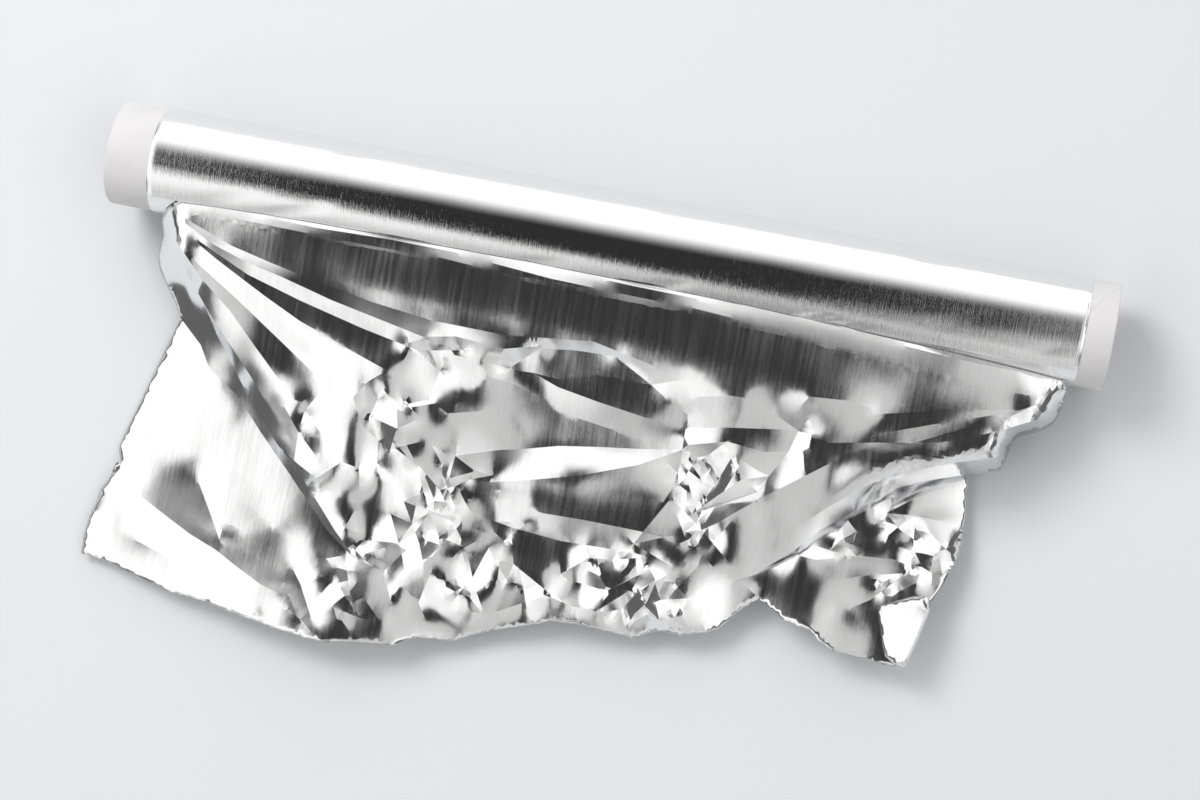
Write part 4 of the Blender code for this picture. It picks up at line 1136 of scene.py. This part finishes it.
@dataclass
class Patch:
    """One stretch of the sheet, seen from above: its outline, its creases and how it is crumpled.

    Lengths are in millimetres. A hold says how firmly a corner is drawn to its lift.
    """

    outline: list
    creases: list
    joins: list
    crumpled: list
    soft: list
    seed: int
    base: Tent | None = None
    spacing: float = 1.2
    turns: int = 700
    hand_hold: float = 1.2
    random_hold: float = 2.5
    weak_hold: float = 0.0003
    edge_hold: float = 2000.0
    shoulder_hold: float = 0.03
    fold_stiffness: float = 0.01
    soft_stiffness: float = 0.5
    soft_seen_at: float = 13.0
    soft_full: float = 1.5
    # Random facets: how loose their corners lie, how they set in, how even they are, how deep a crease is
    facet_loose: float = 0.4
    strength_fade: float = 0.2
    evenness: float = 0.6
    join_gap: float = 1.0
    join_fade: float = 0.9
    deep_share: float = 0.25
    # Gaps to the outline, and the loose points' gaps as shares of the spacing
    hand_gap: float = 0.6
    random_gap: float = 1.0
    loose: float = 0.25
    outline_gap: float = 0.5
    crease_gap: float = 0.55
    lowest: float = 0.12
    # Slow waves
    wave_count: int = 10
    wave_lengths: tuple = (11.0, 30.0)
    wave_share: float = 0.003
    wave_gap: float = 8.0
    calm_waves: float = 0.3
    least_waves: float = 0.2

    def hand_facets(self, ring: np.ndarray) -> Facets:
        """The facets between the outline and the creases picked from the photograph.

        Args:
            ring: the outline's points.

        Returns:
            The facets, their heights counted from the smooth base.
        """
        groups, edges = [ring[::3]], []
        first = len(groups[0])
        for line in self.creases:
            groups.append(line)
            edges += [(first + i, first + i + 1) for i in range(len(line) - 1)]
            first += len(line)
        points = np.vstack(groups)
        heights = points[:, 2].copy()
        if self.base is not None:
            heights[: len(groups[0])] -= self.base.at(points[: len(groups[0])])
        return Facets(points, heights, edges)

    def level_facets(self, ring: np.ndarray, level: CrumpleLevel, chance: random.Random) -> Facets:
        """Random facets of one size over the patch.

        Args:
            ring: the outline's points.
            level: the facets' size and height.
            chance: the source of the random heights.

        Returns:
            The facets.
        """
        points = scattered(ring, 2 * level.step, level.step, chance, self.facet_loose)
        strength = strength_at(points, self.crumpled)
        strength = strength * smooth_share((strength - level.least_strength) / self.strength_fade)
        for join in self.joins:
            gap = (distance_to_line(points, join) - self.join_gap) / (self.join_fade * level.step)
            strength = strength * smooth_share(gap)
        signs = np.array([chance.uniform(-1.0, 1.0) for _ in range(len(points))])
        signs = np.sign(signs) * np.abs(signs) ** self.evenness
        return Facets(points, signs * strength * level.height, [])

    def crease_net(self, ring: np.ndarray, hand: Facets, levels: list, chance: random.Random) -> CreaseNet:
        """The listed creases and those of the random facets, within the outline.

        Args:
            ring: the outline's points.
            hand: the facets between the listed creases.
            levels: the random facets, coarse ones first.
            chance: the source of the choice among the random creases.

        Returns:
            The creases.
        """
        net = CreaseNet()
        closed = np.vstack([ring, ring[:1]])
        for line in self.creases:
            fine = divided(line, self.spacing)
            kept = inside(fine, ring) & (distance_to_line(fine, closed) > self.hand_gap)
            for run in np.split(np.arange(len(fine)), np.flatnonzero(np.diff(kept)) + 1):
                if kept[run[0]] and len(run) > 1:
                    net.add(fine[run], self.hand_hold, self.hand_hold)
        for facets, level in zip(levels, LEVELS):
            places, steep = facets.places, np.abs(facets.heights) > self.deep_share * level.height
            lifts = hand.at(places) + sum(other.at(places) for other in levels)
            kept = inside(places, ring) & (distance_to_line(places, closed) > self.random_gap)
            for pair in facets.edges:
                deep = any(steep[one] for one in pair)
                if deep and all(kept[one] for one in pair) and chance.random() < level.creased:
                    ends = np.array([(*places[one], lifts[one]) for one in pair])
                    net.add(divided(ends, self.spacing), self.random_hold, 0.0)
        return net

    def loose_points(self, ring: np.ndarray, net: CreaseNet, chance: random.Random) -> np.ndarray:
        """Plan points between the creases, none of them close to a crease or to the outline."""
        loose = scattered(ring, 0.0, self.spacing, chance, self.loose)
        loose = loose[inside(loose, ring)]
        closed = np.vstack([ring, ring[:1]])
        loose = loose[distance_to_line(loose, closed) > self.outline_gap * self.spacing]
        if not net.points:
            return loose
        tree = KDTree(len(net.points))
        for number, point in enumerate(net.points):
            tree.insert((*point, 0.0), number)
        tree.balance()
        far = [tree.find((*point, 0.0))[2] > self.crease_gap * self.spacing for point in loose]
        return loose[np.array(far)]

    def softness(self, places: np.ndarray) -> np.ndarray:
        """How round the folds are at plan points, from 0 for a crisp crease to 1."""
        soft = np.zeros(len(places))
        for across, down, reach in self.soft:
            gap = reaches(places, across, down, self.soft_seen_at, reach)
            soft = np.maximum(soft, smooth_share(self.soft_full - gap))
        return soft

    def build(self, sheet: bmesh.types.BMesh) -> None:
        """Adds the patch's faces to the sheet.

        Args:
            sheet: the mesh that the faces go into.
        """
        chance = random.Random(self.seed)
        ring = np.vstack([line[:-1] for line in self.outline])
        hand = self.hand_facets(ring)
        levels = [self.level_facets(ring, level, chance) for level in LEVELS]
        net = self.crease_net(ring, hand, levels, chance)
        first = len(ring)
        creases = np.array(net.points).reshape(-1, 2)
        points = np.vstack([ring[:, :2], creases, self.loose_points(ring, net, chance)])
        edges = [(number, (number + 1) % first) for number in range(first)]
        edges += [(first + start, first + end) for start, end in net.pairs]
        corners = [Vector(point) for point in points]
        found = delaunay_2d_cdt(corners, edges, [], ONLY_WITHIN_OUTLINE, SHEET_WELD)
        places = np.array([list(spot) for spot in found[0]])
        base = self.base.at(places) if self.base is not None else np.zeros(len(places))
        guess = hand.at(places) + sum(facets.at(places) for facets in levels)
        aim, hold = guess.copy(), np.full(len(places), self.weak_hold)
        if self.base is not None:
            firm = self.base.near_shoulder(places)
            hold += self.shoulder_hold * firm
            aim *= 1.0 - firm
        for number, sources in enumerate(found[3]):
            on_ring = [index for index in sources if index < first]
            on_crease = [index - first for index in sources if first <= index < first + len(net.points)]
            held = sum(net.holds[index] for index in on_crease)
            if on_ring:
                aim[number], hold[number] = ring[on_ring[0], 2] - base[number], self.edge_hold
                guess[number] = aim[number]
            elif held > 0.0:
                aim[number] = sum(net.holds[index] * net.lifts[index] for index in on_crease) / held
                hold[number] = held
        soft = self.softness(places)
        creased = {}
        for (start, end), sources in zip(found[1], found[4]):
            if any(index >= first for index in sources):
                key = min(start, end) * len(places) + max(start, end)
                creased[key] = max(self.fold_stiffness, self.soft_stiffness * float(soft[start]) ** 2)
        plate = Plate(places, np.array(found[2]), creased)
        heights = plate.settled(guess, aim, hold, self.turns) + base
        heights = heights + np.where(hold >= self.edge_hold, 0.0, self.waves(places, chance))
        corners = [sheet.verts.new((*spot, max(level, self.lowest))) for spot, level in zip(places, heights)]
        for face in found[2]:
            sheet.faces.new([corners[i] for i in face])
        log.info("patch %d: %d corners, %d creased edges", self.seed, len(places), len(creased))

    def waves(self, places: np.ndarray, chance: random.Random) -> np.ndarray:
        """Slow waves that keep the facets from being quite flat.

        Args:
            places: plan points.
            chance: the source of the waves' directions.

        Returns:
            The height of the waves at the points, none at the joins.
        """
        total = np.zeros(len(places))
        for _ in range(self.wave_count):
            heading, length = chance.uniform(0, math.pi), chance.uniform(*self.wave_lengths)
            phase = chance.uniform(0, ALL_ROUND)
            way = places[:, 0] * math.cos(heading) + places[:, 1] * math.sin(heading)
            total += self.wave_share * length * np.sin(ALL_ROUND * way / length + phase) / 2
        share = np.ones(len(places))
        for join in self.joins:
            share = share * smooth_share(distance_to_line(places, join) / self.wave_gap)
        strength = strength_at(places, self.crumpled, self.least_waves)
        return total * share * (self.calm_waves + (1.0 - self.calm_waves) * strength)


@dataclass
class FreeSheet:
    """The sheet let off the roll: wall, crumpled main sheet, a layer folded under at each side, a corner."""

    finish: FoilFinish = FoilFinish("free_foil", streak_depth=0.5, roughness=0.12)
    thickness: float = 0.09
    sharp: float = 6.0
    flat_size: tuple = (0.280, 0.190)
    seed: int = 5
    edge_step: float = 1.3
    # The cutter's teeth, and how unevenly they stand
    tooth_depth: float = 0.22
    tooth_range: tuple = (0.1, 1.6)
    tooth_shift: float = 0.12
    # Round folds: their radius, how far they bulge, and into how many steps they are divided
    fold_radius: float = 0.6
    fold_bulge: float = 0.8
    fold_steps: int = 6
    # The turned corner's fold: how high it stands, how far it leans towards the viewer, and its steps
    corner_height: float = 3.4
    corner_lean: float = 0.2
    corner_steps: int = 5
    # The wall: its right end, the points along its height, its waves and its hollow
    wall_short: float = 1.2
    wall_step: float = 1.4
    wall_waves: int = 6
    wave_heights: tuple = (0.25, 0.6)
    wave_counts: tuple = (2, 11)
    wave_depth: float = 0.35
    wall_hollow: float = 0.6
    wall_foot: float = 0.1
    wall_rise: float = 3.0
    # The lower end of the fold over the shoulder: towards the viewer and further down
    under_fold: tuple = (-1.6, 0.25)
    fold_back: float = 0.9
    # The strip's map: how many metres of it go for one of depth and of height
    strip_pace: tuple = (1.1, 0.4)
    creases_seen_at: float = 12.0

    def toothed(self, sights: list, chance: random.Random) -> np.ndarray:
        """A cut edge with the small uneven teeth of the cutter.

        Args:
            sights: the edge's corners as seen in the picture.
            chance: the source of the unevenness.

        Returns:
            The edge's points.
        """
        ragged = self.seen(sights)
        for number in range(1, len(ragged) - 1):
            ragged[number, 1] += self.tooth_depth * (-1) ** number * chance.uniform(*self.tooth_range)
            ragged[number, 0] += self.tooth_shift * chance.uniform(-1.0, 1.0)
        return ragged

    def seen(self, sights: list) -> np.ndarray:
        """A line seen in the picture, in equal steps."""
        return stepped(CAMERA.line(sights), self.edge_step)

    def selvedge(self, start: np.ndarray, sights: list) -> np.ndarray:
        """A side edge of the foil, from its end on the roll on, softly rounded."""
        return stepped(np.vstack([start, rounded_line(CAMERA.line(sights[1:]), 1)]), self.edge_step)

    def strip(self, sheet: bmesh.types.BMesh, *lines: np.ndarray) -> None:
        """Faces between lines of equally many points, leaving out those without area."""
        rows = [[sheet.verts.new(point) for point in line] for line in lines]
        for upper, lower in zip(rows, rows[1:]):
            for corners in zip(upper, upper[1:], lower[1:], lower):
                kept = []
                for corner in corners:
                    if all((corner.co - other.co).length > SHEET_WELD for other in kept):
                        kept.append(corner)
                if len(kept) > 2:
                    sheet.faces.new(kept)

    def hem(self, line: np.ndarray, side: float) -> list:
        """The lines of a round fold that starts at a line and turns under the sheet.

        Args:
            line: the line where the upper layer ends.
            side: 1.0 or -1.0, the side of the line on which the fold bulges out.

        Returns:
            The lines, the given one first. The fold closes towards its two ends.
        """
        run = np.gradient(line[:, :2], axis=0)
        out = side * np.stack([run[:, 1], -run[:, 0]], axis=1) / np.linalg.norm(run, axis=1)[:, None]
        share = np.linspace(0.0, 1.0, len(line))
        radius = self.fold_radius * np.sqrt(np.clip(4.0 * share * (1.0 - share), 0.0, 1.0))
        lines = [line]
        for step in range(1, self.fold_steps):
            angle = math.pi * step / self.fold_steps
            bulge = self.fold_bulge * radius * math.sin(angle)
            drop = radius * (1.0 - math.cos(angle))
            lines.append(np.column_stack([line[:, :2] + out * bulge[:, None], line[:, 2] - drop]))
        return lines

    def wall(self, sheet: bmesh.types.BMesh, rear: np.ndarray, chance: random.Random) -> None:
        """The stretch on the table, the wall before the roll and the fold over its shoulder.

        Args:
            sheet: the mesh that the faces go into.
            rear: the points of the rear edge.
            chance: the source of the wall's slow waves.
        """
        left, right = ROLL.foil_left, ROLL.foil_left + ROLL.foil_width - self.wall_short
        share = np.linspace(0.0, 1.0, len(rear))
        wave = np.zeros(len(rear))
        for number in range(self.wall_waves):
            depth = chance.uniform(*self.wave_heights)
            wave = wave + depth * np.sin(ALL_ROUND * share * chance.uniform(*self.wave_counts) + number)
        profile = stepped(rounded_line(np.array([(0.0, *spot) for spot in WALL])), self.wall_step)[:, 1:]
        lines = []
        for ahead, height in profile:
            climb = height / WALL[-1][1]
            lean = smooth_share(climb)
            x = (1 - lean) * np.linspace(left, right, len(rear)) + lean * rear[:, 0]
            y = ROLL.axis_y - ahead + climb ** 2 * (rear[:, 1] - rear[:, 1].max())
            y = y + self.wave_depth * wave * 4 * climb * (1.0 - climb)
            y = y - self.wall_hollow * climb * (1.0 - climb)
            rise = (height - self.wall_foot) * (rear[:, 2] - self.wall_rise)
            z = self.wall_foot + rise / (rear[:, 2].max() - self.wall_rise)
            lines.append(np.stack([x, y, z], axis=1))
        ahead, deeper = self.under_fold
        lines.append(rear + np.array([0.0, ahead, -2 * self.fold_radius - deeper]))
        for step in range(1, self.fold_steps):
            angle = math.pi * step / self.fold_steps
            turn = np.array([0.0, math.sin(angle) - self.fold_back, -math.cos(angle) - 1])
            lines.append(rear + self.fold_radius * turn)
        self.strip(sheet, *lines, rear)

    def build(self, group: bpy.types.NodeTree) -> bpy.types.Object:
        """Joins the wall, the patches and the folds into one sheet and gives it its thickness.

        Args:
            group: the rolling streaks' node group.

        Returns:
            The finished piece.
        """
        chance = random.Random(self.seed)
        sheet = bmesh.new()
        rear = stepped(rounded_line(along_foil(REAR_EDGE)), self.edge_step)
        self.wall(sheet, rear, chance)
        foot, crest = self.seen(LEFT_FOLD_FOOT), self.seen(RIGHT_FOLD_CREST)
        join, right_join = self.seen(LEFT_CUT_END), self.seen(RIGHT_CUT_END)
        selvedge = self.selvedge(rear[:1], LEFT_SELVEDGE)
        right_selvedge = self.selvedge(rear[-1:], RIGHT_SELVEDGE)
        middle_cut = self.toothed(MIDDLE_CUT, chance)
        tent = Tent()
        fold_crest = CAMERA.line(LEFT_FOLD_CREST)[1:]
        fold_crest[:, 2] -= tent.at(fold_crest)
        creases = [*(self.lifted(line) for line in CREASES), fold_crest]
        outline = [selvedge, foot, join, middle_cut,
                   *(line[::-1] for line in (right_join, crest, right_selvedge, rear))]
        joins = [foot, join, right_join, crest, rear]
        Patch(outline, creases, joins, CRUMPLED, SOFT, seed=3, base=tent).build(sheet)

        hidden, edge = self.folded_under(foot, LEFT_FOLD_HIDDEN, LEFT_FLAP_EDGE)
        outline = [edge, self.toothed(LEFT_CUT, chance), join[::-1], hidden[::-1]]
        creases = [CAMERA.line(line) for line in LEFT_FLAP_CREASES]
        Patch(outline, creases, [hidden, join], FLAP_CRUMPLED, FLAP_SOFT, seed=7).build(sheet)
        self.strip(sheet, *self.hem(foot, -1.0), hidden)

        hidden, edge = self.folded_under(crest, RIGHT_FOLD_HIDDEN, RIGHT_FLAP_EDGE)
        corner = self.seen(CORNER_FOLD)
        outline = [hidden, right_join, self.toothed(RIGHT_CUT, chance), corner[::-1], edge[::-1]]
        creases = [CAMERA.line(line) for line in RIGHT_FLAP_CREASES]
        joins = [hidden, right_join, corner]
        Patch(outline, creases, joins, LOWER_CRUMPLED, LOWER_SOFT, seed=9).build(sheet)
        self.strip(sheet, *self.hem(crest, 1.0), hidden)
        self.corner_flap(sheet, corner)
        return self.finished(sheet, group)

    def folded_under(self, fold: np.ndarray, inner: list, edge: list) -> tuple:
        """The hidden inner line of a layer folded under, and the layer's own side edge.

        Args:
            fold: the points of the fold.
            inner: the hidden line's corners along the foil.
            edge: the side edge's corners as seen in the picture.

        Returns:
            The two lines' points. The hidden one has as many as the fold and ends with it.
        """
        hidden = stepped(along_foil(inner), self.edge_step, len(fold))
        hidden[-1] = fold[-1]
        return hidden, stepped(np.vstack([hidden[:1], CAMERA.line(edge)]), self.edge_step)

    def lifted(self, sights: list) -> np.ndarray:
        """A crease's plan points with its lift as the third value."""
        line = CAMERA.line([(across, down, self.creases_seen_at) for across, down, _ in sights])
        line[:, 2] = [CREASE_LIFT * lift for _, _, lift in sights]
        return line

    def corner_flap(self, sheet: bmesh.types.BMesh, corner: np.ndarray) -> None:
        """The small corner folded back over the sheet, with its round fold.

        Args:
            sheet: the mesh that the faces go into.
            corner: the points of the fold.
        """
        edge = self.seen(CORNER_FLAP)
        lifted = corner + np.array([0.0, 0.0, self.corner_height])
        lifted[0], lifted[-1] = edge[0], edge[-1]
        rows = [corner]
        for number in range(1, self.corner_steps):
            share = number / self.corner_steps
            bulge = math.sin(math.pi * share) * self.fold_bulge
            out = np.array([bulge, -self.corner_lean * bulge, 0.0])
            rows.append(corner + (lifted - corner) * share + out)
        self.strip(sheet, *rows, lifted)
        Patch([edge, lifted[::-1]], [], [lifted], [], CORNER_SOFT, seed=13).build(sheet)

    def finished(self, sheet: bmesh.types.BMesh, group: bpy.types.NodeTree) -> bpy.types.Object:
        """Args:
            sheet: the open surface in millimetres.
            group: the rolling streaks' node group.

        Returns:
            The finished piece.
        """
        bmesh.ops.remove_doubles(sheet, verts=sheet.verts, dist=2 * SHEET_WELD)
        bmesh.ops.recalc_face_normals(sheet, faces=sheet.faces)
        bmesh.ops.scale(sheet, verts=sheet.verts, vec=(MM, MM, MM))
        layer = sheet.loops.layers.uv.new(STRIP_MAP)
        by_depth, by_height = self.strip_pace
        for face in sheet.faces:
            for loop in face.loops:
                spot = loop.vert.co
                loop[layer].uv = (spot.x, by_depth * spot.y + by_height * spot.z)
        obj = finished_piece(sheet, "free_sheet", self.sharp, self.finish.build(group), "foil")
        wall = obj.modifiers.new("thickness", "SOLIDIFY")
        wall.thickness = self.thickness * MM
        wall.offset = 0.0
        return obj


# Studio


@dataclass
class Studio:
    """The pale table, the soft light round it and one broad lamp.

    The light is a picture in angles from straight above, in degrees: side goes to the right, back away from
    the viewer. Each pair of angles is where a soft step begins and ends.
    """

    table_half: float = 3.0
    table_grid: int = 6
    table_colour: tuple = (0.76, 0.77, 0.79)
    table_roughness: float = 0.7
    lamp_power: float = 13.0
    lamp_size: float = 0.7
    lamp_place: tuple = (-0.85, 0.75, 1.25)
    colour: tuple = (1.0, 0.995, 0.985, 1.0)
    # The least light, and white
    dark: float = 0.03
    white: float = 1.2
    # White from above towards the back
    back_step: tuple = (-4.0, 44.0)
    back_power: float = 2.0
    # The front's light lies below a slanting edge with a corner in it; its strength changes from left to right
    edge_start: float = -59.0
    edge_slope: float = -2.0
    edge_soft: tuple = (-1.8, 1.8)
    corner_step: tuple = (-18.5, -14.5)
    corner_height: float = 4.0
    front_step: tuple = (-10.5, -2.0)
    front_left: float = 0.86
    front_right: float = 0.3
    side_step: tuple = (-2.5, 1.5)
    side: float = 0.75
    low_step: tuple = (-80.0, -40.0)
    front_low: float = 0.7
    front_high: float = 1.2
    # White from the left, which reaches a little further in at the front
    left_step: tuple = (-23.5, -18.4)
    left_drawn_step: tuple = (-36.0, -12.0)
    left_drawn: float = -2.4
    # Grey from the right, in two steps, the first of which reaches further in at the front
    right_step: tuple = (2.2, 6.5)
    right_drawn_step: tuple = (-46.0, -12.0)
    right_drawn: float = 5.0
    side_near: float = 0.62
    far_step: tuple = (8.0, 40.0)
    side_far: float = 0.6
    # Low light from the two sides is held off
    sideways_step: tuple = (0.35, 0.6)
    height_step: tuple = (22.0, 40.0)
    held_off: float = 0.9

    def table(self) -> None:
        """Adds the table."""
        mesh = bmesh.new()
        grid = self.table_grid
        bmesh.ops.create_grid(mesh, x_segments=grid, y_segments=grid, size=self.table_half)
        data = bpy.data.meshes.new("table")
        mesh.to_mesh(data)
        mesh.free()
        material, _, shader = new_material("table")
        shader.inputs["Base Color"].default_value = (*self.table_colour, 1.0)
        shader.inputs["Roughness"].default_value = self.table_roughness
        data.materials.append(material)
        placed("table", data)

    def lamp(self) -> None:
        """Adds the broad lamp behind and to the left."""
        data = bpy.data.lights.new("broad_lamp", "AREA")
        data.energy, data.size = self.lamp_power, self.lamp_size
        obj = placed("broad_lamp", data)
        obj.location = self.lamp_place
        obj.rotation_euler = (-Vector(self.lamp_place)).to_track_quat("-Z", "Y").to_euler()
        obj.visible_glossy = False

    def world(self) -> None:
        """Sets the light all round, dark over the camera and bright where the photo's foil shines."""
        world = bpy.data.worlds.new("studio")
        bpy.context.scene.world = world
        world.use_nodes = True
        shading = Shading(world.node_tree)
        axes = shading.node("ShaderNodeSeparateXYZ")
        shading.feed(axes.inputs[0], shading.node("ShaderNodeTexCoord").outputs["Generated"])
        side = shading.maths("ARCSINE", axes.outputs["X"])
        back = shading.maths("ARCTAN2", axes.outputs["Y"], axes.outputs["Z"])

        def step(angle: object, ends: tuple, start: float, end: float) -> bpy.types.NodeSocket:
            """A soft step between two angles in degrees."""
            return shading.ramp(angle, *(math.radians(one) for one in ends), start, end)

        above = shading.maths("POWER", step(back, self.back_step, 0.0, 1.0), self.back_power)
        above = shading.maths("MULTIPLY", above, self.white)

        corner = step(side, self.corner_step, math.radians(self.corner_height), 0.0)
        edge = shading.maths("MULTIPLY_ADD", side, self.edge_slope, math.radians(self.edge_start))
        edge = shading.maths("ADD", edge, corner)
        front = shading.maths("ADD", step(side, self.front_step, self.front_left, self.front_right),
                              step(side, self.side_step, 0.0, self.side))
        below = step(shading.maths("SUBTRACT", back, edge), self.edge_soft, 1.0, 0.0)
        below = shading.maths("MULTIPLY", below, front)
        below = shading.maths("MULTIPLY", below, step(back, self.low_step, self.front_low, self.front_high))

        drawn = step(back, self.left_drawn_step, math.radians(self.left_drawn), 0.0)
        left = step(shading.maths("ADD", side, drawn), self.left_step, self.white, 0.0)
        drawn = step(back, self.right_drawn_step, math.radians(self.right_drawn), 0.0)
        right = step(shading.maths("ADD", side, drawn), self.right_step, 0.0, self.side_near)
        right = shading.maths("ADD", right, step(side, self.far_step, 0.0, self.side_far))

        light = shading.maths("MAXIMUM", left, right)
        light = shading.maths("MAXIMUM", shading.maths("MAXIMUM", above, below), light)
        sideways = shading.ramp(shading.maths("ABSOLUTE", axes.outputs["X"]), *self.sideways_step)
        heights = (math.sin(math.radians(one)) for one in self.height_step)
        low = shading.ramp(axes.outputs["Z"], *heights, self.held_off, 0.0)
        kept = shading.maths("SUBTRACT", 1.0, shading.maths("MULTIPLY", sideways, low))
        light = shading.maths("MAXIMUM", shading.maths("MULTIPLY", light, kept), self.dark)
        background = world.node_tree.nodes["Background"]
        shading.feed(background.inputs["Strength"], light)
        background.inputs["Color"].default_value = self.colour

    def build(self) -> None:
        """Adds the table, the lamp, the surrounding light and the plain view settings."""
        self.table()
        self.lamp()
        self.world()
        bpy.context.scene.view_settings.view_transform = "Standard"


def main() -> None:
    """Builds the object and its studio in order."""
    logging.basicConfig(level=logging.INFO, format="%(message)s")
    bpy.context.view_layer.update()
    CAMERA.build()
    Studio().build()
    group = RollingStreaks().build()
    PaperCore().build()
    WoundFoil().build(group)
    FreeSheet().build(group)


if __name__ == "__main__":
    main()
